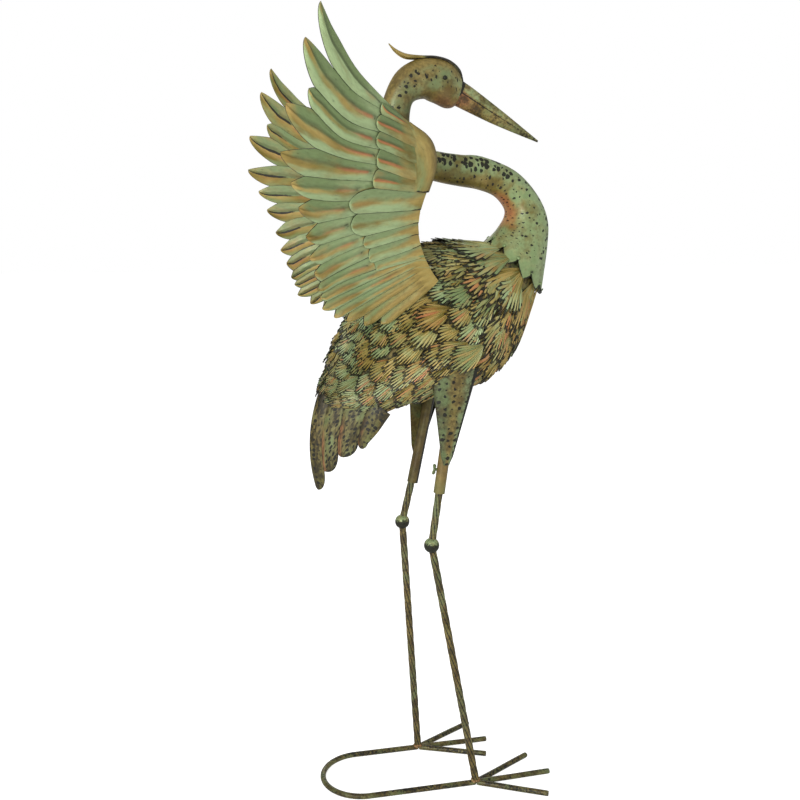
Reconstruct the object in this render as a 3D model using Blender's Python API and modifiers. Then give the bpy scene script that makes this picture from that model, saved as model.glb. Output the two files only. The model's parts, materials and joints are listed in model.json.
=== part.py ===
"""Metal heron garden statue: a wading bird in painted sheet metal on two
twisted rods, which stand on a floor loop of round bar with three toes a foot.

+X is the way the bird faces, +Y is its left side, +Z is up.  The floor is z = 0.
The bird itself is drawn in millimetres of the statue's full height, and FIGURE
turns them into metres.  Bars, sheets, tubes and gaps keep their own sizes.
"""
import math

import bmesh
import bpy
from mathutils import Matrix, Vector
from mathutils.geometry import delaunay_2d_cdt

# Driving dimensions, in metres
STATUE_HEIGHT = 1.020        # floor to the tip of the longest flight feather
DRAWN_HEIGHT = 1020.0        # the same height in the millimetres of the drawing
FIGURE = STATUE_HEIGHT / DRAWN_HEIGHT

SHEET = 0.0012               # wing, tail, thigh and crest sheet
GAP = 0.0003                 # left between two pieces that touch
LEG_ROD = 0.0105             # twisted leg rod, diameter
TUBE_WALL = 0.0020           # wall of the socket tube under the body
TUBE_CLEARANCE = 0.0005      # between leg rod and tube, on the radius
ROD_IN_TUBE = 0.055          # how far a leg rod goes up its tube
KNEE_BALL = 0.021            # diameter
BALL_SOCKET = 0.0025         # how deep a rod is let into a knee ball
FLOOR_BAR = 0.008            # loop and toes, diameter
LOOP_WIDTH = 0.113           # between the centres of the loop's two arms
LOOP_BEND_X = -0.0565        # where the arms turn into the half circle
RIGHT_FOOT_X = 0.098
LEFT_FOOT_X = 0.041
TOE_LENGTH = 0.110           # of a full toe; the cut ends differ a little
SCREW_SHANK = 0.004          # thumb screw, diameter
SCREW_WING = 0.015           # across its two wings
SCREW_REACH = 0.0035         # from the tube to the middle of the wings
SCREW_CLEARANCE = 0.0005     # between the screw's wings and the thigh sheet's foot

FOOT_Y = LOOP_WIDTH / 2
TUBE_RADIUS = LEG_ROD / 2 + TUBE_CLEARANCE + TUBE_WALL
BAR_SIDES = 12
BAR_FLAT = FLOOR_BAR / 2 * math.cos(math.pi / BAR_SIDES)   # centre to a flat side

# The median profile of body, neck and head.  Each row is one cross section:
# back x, back z, front x, front z, half width, in millimetres of the drawing.
BODY_SECTIONS = (
    (128, 766, 192, 706, 34),
    (86, 765, 179, 677, 52),
    (44, 762, 156, 628, 65),
    (8, 750, 118, 586, 71),
    (-24, 726, 67, 570, 72),
    (-51, 693, 18, 558, 68),
    (-73, 653, -27, 547, 59),
    (-91, 616, -61, 545, 47),
    (-101, 588, -87, 553, 30),
)
NECK_SECTIONS = (
    (125, 773, 198, 699, 41),
    (137, 786, 206, 764, 35),
    (146, 801, 205, 799, 30),
    (145, 813, 189, 832, 25),
    (130, 828.5, 158, 862, 22.5),
    (106, 837, 112, 880, 21),
    (80, 841, 83, 882, 19.5),
    (50, 846.5, 51, 886, 18.5),
    (20, 855, 35, 892, 18),
    (-5, 873, 22.5, 902, 17.5),
    (-21, 900, 14, 914, 17),
    (-26, 928, 12.5, 930, 17),
    (-19.5, 958, 17, 947, 17.5),
    (-4.5, 985, 31, 952, 19),
    (19, 1000.3, 40, 949, 20.5),
    (44, 1004, 47, 946.5, 21.5),
    (65, 998.5, 61, 941, 21),
    (77.5, 987.5, 72, 943, 16),
    (83.5, 975, 80, 953, 9),
)
NECK_RINGS = 30
COLLAR_POINTS = 12           # pressed points of the neck's lower edge
COLLAR_POINT_LENGTH = 15     # mm of the drawing
BEAK_SECTIONS = (
    (68, 980, 58, 950, 12),
    (86, 975, 70, 946, 12.5),
    (137, 941, 127, 922, 6.5),
    (191, 902, 190, 899.5, 1.2),
)
# Along the crown: x, z, half width of the crest strip, drop at its two edges
CREST_LINE = (
    (85, 979, 5, 1.2), (78.5, 990.5, 8, 2), (66, 1001, 10.5, 3), (48, 1005.8, 11, 3.2),
    (28, 1006, 10, 3.8), (8, 1007.5, 8, 5), (-6, 1013, 5, 3.5), (-15, 1019.5, 1, 0.5),
)
CREST_STEPS = 12

BODY_ROWS = 10               # rows of pressed tufts
BODY_TUFTS = 15              # tufts round one row
TUFT_LIFT = 5.5              # how far a tuft's tip stands off
TUFT_POINT = 0.55            # length of a tuft's point, in rows

# Wings.  Points of the wing are (back, up) in its own plane, in millimetres
# from the shoulder.
WING_SHOULDER = (30.0, 96.0, 865.0)
WING_YAW = 28.0              # degrees the wing opens from straight back
WING_LEAN = 18.1             # degrees it leans outward
WING_ROOT_CORNER = (-20.0, -145.0)
WING_ROOT_LIFT = 32.0        # the root stands further out to clear the body
WING_LIFT_REACH = 210.0
# Flight feathers from the top: tip, notch below the tip, and the middle of the
# groove that runs from the notch to the root
FLIGHT_FEATHERS = (
    (219, 161, 189, 97, 155, 74), (231, 124, 209, 75, 157, 43),
    (216, 73, 209, 53, 160, 23), (242, 56, 193, 10, 150, 0),
    (239, 4, 202, -21, 150, -24), (219, -29, 187, -47, 148, -49),
    (203, -57, 172, -75, 140, -69), (186, -91, 163, -101, 130, -91),
    (176, -117, 158, -125, 126, -110), (165, -136, 154, -147, 120, -129),
    (156, -157, 147, -161, 112, -143), (150, -167, 140, -172, 100, -154),
    (144, -182, 124, -183, 75, -155), (124, -194, 104, -188, 61, -161),
    (105, -199, 82, -193, 48, -167), (77, -206, 55, -195, 31, -172),
    (53, -204),
)
LEADING_EDGE = ((201, 141), (178, 118), (148, 92))   # front of the first feather
FEATHER_BOW = ((0.5, 0.11), (0.9, 0.08))   # bow of a tip's lower edge, along and across
# Where the flight feathers leave the wing's root, from the top
FLIGHT_ROOT = ((62, 44), (46, -14), (36, -45), (28, -70), (22, -95), (5, -122), (-9, -141))
# Coverts from the top: tip back, tip up, and the inner end of the groove below
COVERTS = (
    (114, 66, 46, 34), (117, 46, 49, 18), (112, 26, 47, 0), (106, 4, 45, -20),
    (106, -23, 44, -34), (134, -52, 30, -56), (126, -78, 30, -73),
    (104, -100, 28, -86), (92, -119, 24, -101), (79, -132, 16, -113),
)
COVERT_SLIT = 9              # depth of the notch between two covert tips
WING_INNER_EDGE = (
    (99, 64), (64, 47), (35, 34), (13.5, 19), (4.5, 0), (8, -18), (19, -38),
    (26, -64), (24, -88), (12, -114), (-11, -142),
)
BOSS_LINE = ((72, 44), (40, 24), (27, 2), (31, -24))   # crest of the shoulder boss
BOSS_HEIGHT = 7.0
FEATHER_RIDGE = 2.6          # height of a feather's rib over its edges
COVERT_STEP = 1.8            # how far the coverts stand over the flight feathers
TAB_BACK = (-2.0, 22.0)      # the tongue that holds the wing to the body
TAB_UP = -126.0
TAB_REACH = 36.0

# Tail.  Points are (distance forward of the tail's ridge, z)
TAIL_TIPS = ((0, 435), (20, 463), (41, 485), (65, 498))
TAIL_TIP_HALF_WIDTHS = (8, 3, 3, 3)
TAIL_NOTCHES = ((15, 464), (35, 491), (60, 506))
TAIL_FRONT = ((80, 518), (95, 538))
TAIL_ROOT_Z = (587, 562)     # at the ridge and at the front end, inside the body
TAIL_RIDGE_X = -123.3
TAIL_RIDGE_Z = 495.0
TAIL_RIDGE_BOW = 0.0024      # mm forward for each square mm away from TAIL_RIDGE_Z
TAIL_HALF_WIDTH = 46.0       # at TAIL_DEPTH forward of the ridge
TAIL_DEPTH = 84.0
TAIL_ROUNDING = 0.75
TAIL_RIDGE = 2.4             # height of a tail feather's rib

# Legs.  x, z in millimetres of the drawing.  A toe has its angle from straight
# ahead, towards the other foot, and its share of TOE_LENGTH
LEGS = {
    "right": {"side": -1, "tube_foot": (42.5, 434), "lean": 0.135, "knee": (32, 361.5),
              "foot_x": RIGHT_FOOT_X, "screw_angle": 180, "thigh_shifts": (2, -4),
              "toes": {"inner": (29.5, 1.0), "middle": (2.0, 1.03), "outer": (-29.5, 0.95)}},
    "left": {"side": 1, "tube_foot": (30, 424), "lean": 0.2, "knee": (15.5, 365),
             "foot_x": LEFT_FOOT_X, "screw_angle": 90, "thigh_shifts": (-1, -9),
             "toes": {"inner": (24.0, 0.95), "middle": (0.0, 0.99), "outer": (-29.5, 1.0)}},
}
TUBE_TOP_Z = 602
TUBE_Y = 50.0
KNEE_Y = 52.0
THIGH_FOOT_RISE = 40         # thigh sheet ends this far above the tube's foot
THIGH_TOP_Z = 606
THIGH_HALF_WIDTHS = (6.0, 33.0)
THIGH_OFFSETS = (1.6, 6.0)   # sheet's outermost line, beyond the tube
THIGH_EDGES = (0.9, -3.0)    # its two edges, beyond the tube

PAINT = {
    "verdigris": ((0.30, 0.42, 0.24, 1.0), 0.5, 0.25),
    "olive": ((0.30, 0.25, 0.09, 1.0), 0.5, 0.25),
    "tufts": ((0.27, 0.28, 0.14, 1.0), 0.55, 0.25),
    "rod": ((0.20, 0.18, 0.09, 1.0), 0.45, 0.5),
    "iron": ((0.05, 0.06, 0.05, 1.0), 0.4, 0.5),
}


def clear_scene():
    for thing in list(bpy.data.objects):
        bpy.data.objects.remove(thing, do_unlink=True)


clear_scene()
statue = bpy.data.collections.new("metal_heron_statue")
cutters = bpy.data.collections.new("cutters")
bpy.context.scene.collection.children.link(statue)
bpy.context.scene.collection.children.link(cutters)
frame = bpy.data.objects.new("statue_frame", None)
statue.objects.link(frame)


def drawn(x, y, z):
    """A point of the drawing, in metres."""
    return Vector((x, y, z)) * FIGURE


def paint(name, key):
    colour, roughness, metallic = PAINT[key]
    material = bpy.data.materials.new(name)
    material.use_nodes = True
    shader = material.node_tree.nodes["Principled BSDF"]
    shader.inputs["Base Color"].default_value = colour
    shader.inputs["Roughness"].default_value = roughness
    shader.inputs["Metallic"].default_value = metallic
    return material


def add_piece(name, data, key):
    """A named piece of the statue."""
    piece = bpy.data.objects.new(name, data)
    statue.objects.link(piece)
    piece.parent = frame
    data.materials.append(paint(name, key))
    return piece


def add_cutter(name, data):
    cutter = bpy.data.objects.new(name, data)
    cutters.objects.link(cutter)
    cutter.parent = frame
    cutter.hide_render = True
    cutter.display_type = "WIRE"
    return cutter


def finish_mesh(name, sheet_bmesh):
    """A closed mesh with its faces pointing out."""
    bmesh.ops.recalc_face_normals(sheet_bmesh, faces=sheet_bmesh.faces)
    if sheet_bmesh.calc_volume(signed=True) < 0:
        bmesh.ops.reverse_faces(sheet_bmesh, faces=sheet_bmesh.faces)
    mesh = bpy.data.meshes.new(name)
    sheet_bmesh.to_mesh(mesh)
    sheet_bmesh.free()
    return mesh


def solidify(piece, thickness, offset=0.0):
    wall = piece.modifiers.new("wall", "SOLIDIFY")
    wall.thickness = thickness
    wall.offset = offset
    return wall


def boolean(piece, operation, other):
    step = piece.modifiers.new(operation.lower(), "BOOLEAN")
    step.operation = operation
    step.solver = "EXACT"
    step.object = other
    return step


def smooth_curve(rows, t):
    """Catmull-Rom through rows of numbers, t from 0 to 1."""
    last = len(rows) - 1
    place = min(max(t, 0.0), 1.0) * last
    i = min(int(place), last - 1)
    f = place - i
    before, start = rows[max(i - 1, 0)], rows[i]
    end, after = rows[i + 1], rows[min(i + 2, last)]
    return [0.5 * (2 * b + (c - a) * f + (2 * a - 5 * b + 4 * c - d) * f ** 2
                   + (3 * b - a - 3 * c + d) * f ** 3)
            for a, b, c, d in zip(before, start, end, after)]


def section_point(section, angle, grow=0.0, fullness=2.0):
    """A point of one cross section; angle 0 is its front, 90 degrees its left."""
    back = Vector((section[0], 0, section[1]))
    front = Vector((section[2], 0, section[3]))
    half = (front - back) / 2
    power = 2.0 / fullness
    along = math.copysign(abs(math.cos(angle)) ** power, math.cos(angle))
    across = math.copysign(abs(math.sin(angle)) ** power, math.sin(angle))
    reach = half * (1 + grow / half.length) * along
    return (back + front) / 2 + reach + Vector((0, (section[4] + grow) * across, 0))


def skin_rings(rings, closed_ends=True):
    """A closed skin over rings of points that all have the same count."""
    skin = bmesh.new()
    loops = [[skin.verts.new(point * FIGURE) for point in ring] for ring in rings]
    count = len(loops[0])
    for lower, upper in zip(loops, loops[1:]):
        for i in range(count):
            j = (i + 1) % count
            skin.faces.new((lower[i], lower[j], upper[j], upper[i]))
    if closed_ends:
        for loop in (loops[0], loops[-1]):
            middle = skin.verts.new(sum((v.co for v in loop), Vector()) / count)
            for i in range(count):
                skin.faces.new((loop[i], loop[(i + 1) % count], middle))
    bmesh.ops.triangulate(skin, faces=skin.faces)
    return skin


def body_mesh():
    """Egg of the body with its rows of tufts, each row lapping the next."""
    samples = BODY_TUFTS * 2
    rings = []

    def ring(row, lifted):
        points = []
        for i in range(samples):
            angle = 2 * math.pi * i / samples
            edge = (i + row) % 2                   # 1 at a tuft's side, 0 at its tip
            reach = row - TUFT_POINT * edge if 0 < row < BODY_ROWS else row
            section = smooth_curve(BODY_SECTIONS, reach / BODY_ROWS)
            height = TUFT_LIFT * (1 - 0.5 * edge) if lifted else 0.0
            points.append(section_point(section, angle, height, 2.25))
        return points

    rings.append(ring(0, False))
    for row in range(1, BODY_ROWS + 1):
        rings.append(ring(row, True))
        if row < BODY_ROWS:
            rings.append(ring(row, False))
    return finish_mesh("body", skin_rings(rings))


def neck_mesh(name, grow=0.0):
    """Neck and head in one skin; its lower edge runs out in pressed points."""
    sides = COLLAR_POINTS * 2
    rings = []
    first = NECK_SECTIONS[0]
    down = Vector((first[0] + first[2] - NECK_SECTIONS[1][0] - NECK_SECTIONS[1][2], 0,
                   first[1] + first[3] - NECK_SECTIONS[1][1] - NECK_SECTIONS[1][3]))
    down.normalize()
    for step in range(NECK_RINGS + 1):
        section = smooth_curve(NECK_SECTIONS, step / NECK_RINGS)
        points = []
        for i in range(sides):
            angle = 2 * math.pi * i / sides
            point = section_point(section, angle, grow)
            if step == 0:
                point += down * (grow + (COLLAR_POINT_LENGTH if i % 2 == 0 else 0))
            points.append(point)
        rings.append(points)
    return finish_mesh(name, skin_rings(rings))


def beak_mesh():
    sides = 12
    steps = 6
    rings = []
    for step in range(steps + 1):
        section = smooth_curve(BEAK_SECTIONS, step / steps)
        rings.append([section_point(section, 2 * math.pi * i / sides, 0, 1.6)
                      for i in range(sides)])
    return finish_mesh("beak", skin_rings(rings))


def grid_mesh(name, rows):
    """An open sheet over rows of points."""
    sheet = bmesh.new()
    grid = [[sheet.verts.new(point * FIGURE) for point in row] for row in rows]
    for low, high in zip(grid, grid[1:]):
        for i in range(len(low) - 1):
            sheet.faces.new((low[i], low[i + 1], high[i + 1], high[i]))
    mesh = bpy.data.meshes.new(name)
    sheet.to_mesh(mesh)
    sheet.free()
    return mesh


def crest_mesh():
    rows = []
    for step in range(CREST_STEPS + 1):
        x, z, half, drop = smooth_curve(CREST_LINE, step / CREST_STEPS)
        rows.append([Vector((x, across * half, z - drop * across * across))
                     for across in (-1, -0.5, 0, 0.5, 1)])
    return grid_mesh("crest", rows)


def wing_point(back, up, out, side):
    """From the wing's own plane to the drawing, with the root's lift."""
    yaw = math.radians(WING_YAW)
    lean = math.radians(WING_LEAN)
    to_back = Vector((-math.cos(yaw), math.sin(yaw), 0))
    to_up = Vector((math.sin(lean) * math.sin(yaw), math.sin(lean) * math.cos(yaw),
                    math.cos(lean)))
    to_out = Vector((math.cos(lean) * math.sin(yaw), math.cos(lean) * math.cos(yaw),
                     -math.sin(lean)))
    away = math.hypot(back - WING_ROOT_CORNER[0], up - WING_ROOT_CORNER[1])
    lift = WING_ROOT_LIFT * max(0.0, 1 - away / WING_LIFT_REACH) ** 2
    point = Vector(WING_SHOULDER) + to_back * back + to_up * up + to_out * (out + lift)
    return Vector((point.x, side * point.y, point.z))


class Chart:
    """Flat drawing of a pressed sheet: points with heights, and crease lines."""

    def __init__(self):
        self.points = []
        self.heights = []
        self.lines = []

    def add(self, point, height):
        for i, old in enumerate(self.points):
            if (old - Vector(point)).length < 0.2:
                return i
        self.points.append(Vector(point))
        self.heights.append(height)
        return len(self.points) - 1

    def line(self, points, heights, closed=False):
        marks = [self.add(p, h) for p, h in zip(points, heights)]
        pairs = list(zip(marks, marks[1:]))
        if closed:
            pairs.append((marks[-1], marks[0]))
        self.lines += [pair for pair in pairs if pair[0] != pair[1]]

    def sheet(self, name, place):
        """Triangles inside the outline, each point put in space by place()."""
        flat, _edges, faces, origins, _e, _f = delaunay_2d_cdt(
            self.points, self.lines, [], 1, 0.01)
        sheet = bmesh.new()
        corners = []
        for point, origin in zip(flat, origins):
            height = self.heights[origin[0]] if origin else 0.0
            corners.append(sheet.verts.new(place(point, height) * FIGURE))
        for face in faces:
            sheet.faces.new([corners[i] for i in face])
        mesh = bpy.data.meshes.new(name)
        sheet.to_mesh(mesh)
        sheet.free()
        return mesh


def flight_edges():
    """Lower edge of each flight feather as (notch, middle, root), from the top."""
    edges = []
    for i, row in enumerate(FLIGHT_FEATHERS[:-1]):
        root = Vector(smooth_curve(FLIGHT_ROOT, (i + 1) / len(FLIGHT_FEATHERS)))
        edges.append((Vector(row[2:4]), Vector(row[4:6]), root))
    return edges


def wing_chart():
    chart = Chart()
    edges = flight_edges()
    roots = [Vector(smooth_curve(FLIGHT_ROOT, 0))] + [edge[2] for edge in edges]
    covert_tips = [Vector(row[:2]) for row in COVERTS]
    groove_ends = [Vector(row[2:]) for row in COVERTS]
    notches = []
    for i, tip in enumerate(covert_tips[:-1]):
        middle = (tip + covert_tips[i + 1]) / 2
        notches.append(middle + (groove_ends[i] - middle).normalized() * COVERT_SLIT)
    notches.append(covert_tips[-1].lerp(groove_ends[-1], 0.3))

    def beyond_coverts(point, inner):
        """The point on the line to inner that stays clear of the coverts."""
        for step in range(60):
            here = point.lerp(inner, step / 60)
            near = min((here - tip).length for tip in covert_tips + notches)
            if near < 9:
                return here
        return inner.lerp(point, 0.15)

    # Outline: the inner edge downward, then the feather tips from the bottom up
    outline = [Vector(p) for p in WING_INNER_EDGE]
    heights = [2.0, 3.0, -1.0, -4.0, -6.0, -5.0, -1.0, 0.5, 0.5, 0.5, 0.5]
    last = Vector(FLIGHT_FEATHERS[-1][:2])
    outline.append(outline[-1].lerp(last, 0.5))
    heights.append(0.5)
    for i in range(len(FLIGHT_FEATHERS) - 1, -1, -1):
        tip = Vector(FLIGHT_FEATHERS[i][:2])
        if i < len(edges):
            chord = tip - edges[i][0]
            across = Vector((chord.y, -chord.x))
            for share, bow in FEATHER_BOW:
                outline.append(edges[i][0] + chord * share + across * bow)
                heights.append(0.3)
        outline.append(tip)
        heights.append(0.8)
        if i:
            outline.append(edges[i - 1][0])
            heights.append(0.0)
    outline += [Vector(p) for p in LEADING_EDGE] + [Vector((115, 70))]
    heights += [0.4, 0.4, 0.6, 1.0]
    chart.line(outline, heights, closed=True)

    # Ribs and grooves of the flight feathers, outside the coverts
    for i, row in enumerate(FLIGHT_FEATHERS):
        tip = Vector(row[:2])
        upper_middle = edges[i - 1][1] if i else Vector((118, 62))
        lower_middle = edges[i][1] if i < len(edges) else Vector((24, -172))
        root = (roots[i] + (roots[i + 1] if i + 1 < len(roots) else roots[i])) / 2
        middle = (upper_middle + lower_middle) / 2
        near_tip = tip.lerp(middle, 0.18)
        inner = beyond_coverts(middle, root)
        ridge = [near_tip, near_tip.lerp(middle, 0.5), middle]
        if (inner - middle).length > 6:
            ridge.append(inner)
        chart.line(ridge, [1.6, FEATHER_RIDGE, FEATHER_RIDGE, FEATHER_RIDGE * 0.7][:len(ridge)])
    for notch, middle, root in edges:
        groove = [notch, notch.lerp(middle, 0.5), middle]
        inner = beyond_coverts(middle, root)
        if (inner - middle).length > 6:
            groove.append(inner)
        chart.line(groove, [0.0] * len(groove))

    # Coverts: a scalloped step, then a rib and a groove for each
    outer, inner = [], []
    centre = Vector((40, -30))
    for i, tip in enumerate(covert_tips):
        if i:
            outer.append(tip.lerp(notches[i - 1], 0.35) + (tip - centre).normalized())
        outer.append(tip + (tip - centre).normalized() * 1.5)
        outer.append(tip.lerp(notches[i], 0.35) + (tip - centre).normalized())
        outer.append(notches[i] + (notches[i] - centre).normalized() * 1.5)
    outer = outer[1:]
    for point in outer:
        inner.append(point - (point - centre).normalized() * 2.2)
    chart.line(outer, [0.2] * len(outer))
    chart.line(inner, [COVERT_STEP] * len(inner))
    for i, tip in enumerate(covert_tips):
        upper = groove_ends[i - 1] if i else Vector((72, 50))
        root = (upper + groove_ends[i]) / 2
        rib = [tip.lerp(root, 0.16), tip.lerp(root, 0.6), tip.lerp(root, 0.94)]
        chart.line(rib, [COVERT_STEP + FEATHER_RIDGE * 0.8] * 2 + [COVERT_STEP + FEATHER_RIDGE])
        groove = [notches[i].lerp(groove_ends[i], 0.12), notches[i].lerp(groove_ends[i], 0.5),
                  groove_ends[i]]
        chart.line(groove, [COVERT_STEP] * 3)
    chart.line([Vector(p) for p in BOSS_LINE], [BOSS_HEIGHT * share for share in (0.7, 1, 1, 0.6)])
    return chart


def wing_tab_mesh(name, side, grow=0.0):
    """Tongue bent inward from the wing's root into the body."""
    tab = bmesh.new()
    half = SHEET / FIGURE / 2
    corners = []
    for back in (TAB_BACK[0] - grow, TAB_BACK[1] + grow):
        for up in (TAB_UP - half - grow, TAB_UP + half + grow):
            for out in (-TAB_REACH - grow, 0.0):
                corners.append(tab.verts.new(wing_point(back, up, out, side) * FIGURE))
    bmesh.ops.convex_hull(tab, input=corners)
    return finish_mesh(name, tab)


def add_wing(side_name, side):
    chart = wing_chart()

    def place(point, height):
        return wing_point(point.x, point.y, height, side)

    wing = add_piece("wing_" + side_name, chart.sheet("wing_" + side_name, place), "verdigris")
    solidify(wing, SHEET)
    tab = add_cutter("tab_" + side_name, wing_tab_mesh("tab_" + side_name, side))
    boolean(wing, "UNION", tab)
    return wing


def tail_point(forward, z, out):
    """The tail sheet: forward is signed, its sign is the side."""
    depth = abs(forward)
    side = math.copysign(1.0, forward)
    x = TAIL_RIDGE_X + TAIL_RIDGE_BOW * (z - TAIL_RIDGE_Z) ** 2 + depth
    y = TAIL_HALF_WIDTH * (depth / TAIL_DEPTH) ** TAIL_ROUNDING
    slant = math.atan2(TAIL_HALF_WIDTH, TAIL_DEPTH) if depth > 1 else math.pi / 2
    return Vector((x - out * math.sin(slant), side * (y + out * math.cos(slant)), z))


def tail_chart(grow=0.0):
    chart = Chart()
    half = []
    for i, tip in enumerate(TAIL_TIPS):
        width = TAIL_TIP_HALF_WIDTHS[i]
        if i:
            half.append((tip[0] - width, tip[1] + width))
        half.append(tip)
        half.append((tip[0] + width, tip[1] + width * 0.3))
        half.append((tip[0] + width * 1.7, tip[1] + width * 2))
        if i < len(TAIL_NOTCHES):
            half.append(TAIL_NOTCHES[i])
    half += list(TAIL_FRONT[:-1]) + [(TAIL_FRONT[-1][0] + grow, TAIL_FRONT[-1][1])]
    top = [(TAIL_FRONT[-1][0] + grow, TAIL_ROOT_Z[1] + grow), (62, 574 + grow),
           (30, 582 + grow)]
    right = [Vector(p) for p in half + top]
    left = [Vector((-p.x, p.y)) for p in reversed(right[1:])]
    outline = right + [Vector((0, TAIL_ROOT_Z[0] + grow))] + left
    chart.line(outline, [0.0] * len(outline), closed=True)
    for sign in (-1, 1):
        for i, tip in enumerate(TAIL_TIPS):
            if i == 0 and sign < 0:
                continue
            root = Vector((sign * tip[0] * 1.12, 555))
            start = Vector((sign * tip[0], tip[1] + 12))
            rib = [start, start.lerp(root, 0.5), root]
            chart.line(rib, [TAIL_RIDGE] * 3)
        for notch in TAIL_NOTCHES:
            start = Vector((sign * notch[0], notch[1]))
            root = Vector((sign * notch[0] * 1.12, 550))
            chart.line([start, start.lerp(root, 0.5), root], [0.0] * 3)
    return chart


def tail_mesh(name, grow=0.0):
    def place(point, height):
        return tail_point(point.x, point.y, height)

    return tail_chart(grow).sheet(name, place)


def tube_x(leg, z):
    foot_x, foot_z = leg["tube_foot"]
    return foot_x + leg["lean"] * (z - foot_z)


def thigh_mesh(name, leg, grow=0.0):
    """Open half cone of sheet on the outer side of the tube."""
    rows = []
    foot_z = leg["tube_foot"][1] + THIGH_FOOT_RISE
    radius = TUBE_RADIUS / FIGURE
    steps = 6
    for step in range(steps + 1):
        t = step / steps
        z = foot_z + (THIGH_TOP_Z - foot_z + grow) * t
        half = THIGH_HALF_WIDTHS[0] + (THIGH_HALF_WIDTHS[1] - THIGH_HALF_WIDTHS[0]) * t + grow
        low_shift, top_shift = leg["thigh_shifts"]
        shift = low_shift + (top_shift - low_shift) * t
        outer = radius + THIGH_OFFSETS[0] + (THIGH_OFFSETS[1] - THIGH_OFFSETS[0]) * t
        edge = radius + THIGH_EDGES[0] + (THIGH_EDGES[1] - THIGH_EDGES[0]) * t
        if step == 0:
            half *= 0.7
        row = []
        for i in range(9):
            angle = math.radians(-90 + 180 * i / 8)
            x = tube_x(leg, z) + shift + half * math.sin(angle)
            y = TUBE_Y + edge + (outer - edge) * math.cos(angle) - grow * (1 if i in (0, 8) else 0)
            row.append(Vector((x, leg["side"] * y, z)))
        rows.append(row)
    return grid_mesh(name, rows)


def axis_matrix(start, direction):
    """Local Z along direction, from start."""
    return Matrix.Translation(start) @ direction.to_track_quat("Z", "Y").to_matrix().to_4x4()


def turned_mesh(name, profile, matrix, sides=16):
    """A closed profile of (radius, height) turned round the matrix's Z axis."""
    ring = bmesh.new()
    columns = []
    for i in range(sides):
        angle = 2 * math.pi * i / sides
        columns.append([ring.verts.new(matrix @ Vector((r * math.cos(angle), r * math.sin(angle), h)))
                        for r, h in profile])
    for i in range(sides):
        here, there = columns[i], columns[(i + 1) % sides]
        for k in range(len(profile)):
            m = (k + 1) % len(profile)
            ring.faces.new((here[k], there[k], there[m], here[m]))
    return finish_mesh(name, ring)


def cylinder_mesh(name, radius, start, end, sides=12, turn=0.0):
    solid = bmesh.new()
    length = (end - start).length
    bmesh.ops.create_cone(solid, cap_ends=True, segments=sides, radius1=radius,
                          radius2=radius, depth=length)
    matrix = (axis_matrix(start, (end - start).normalized())
              @ Matrix.Translation((0, 0, length / 2)) @ Matrix.Rotation(turn, 4, "Z"))
    bmesh.ops.transform(solid, matrix=matrix, verts=solid.verts)
    return finish_mesh(name, solid)


def add_bar(name, points, diameter, sides, key, tilt=0.0):
    """A round bar along points, as a curve with filled caps."""
    curve = bpy.data.curves.new(name, "CURVE")
    curve.dimensions = "3D"
    curve.twist_mode = "Z_UP"
    curve.bevel_depth = diameter / 2
    curve.bevel_resolution = (sides - 4) // 2
    curve.use_fill_caps = True
    spline = curve.splines.new("POLY")
    spline.points.add(len(points) - 1)
    for knot, point in zip(spline.points, points):
        knot.co = (*point, 1.0)
        knot.tilt = tilt
    return add_piece(name, curve, key)


def leg_points(leg):
    """Tube foot, tube top, knee and foot of one leg, in metres."""
    side = leg["side"]
    foot_x, foot_z = leg["tube_foot"]
    tube_foot = drawn(foot_x, side * TUBE_Y, foot_z)
    tube_top = drawn(tube_x(leg, TUBE_TOP_Z), side * TUBE_Y, TUBE_TOP_Z)
    knee = drawn(leg["knee"][0], side * KNEE_Y, leg["knee"][1])
    foot = Vector((leg["foot_x"], side * FOOT_Y, 2 * BAR_FLAT + GAP))
    return tube_foot, tube_top, knee, foot


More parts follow.
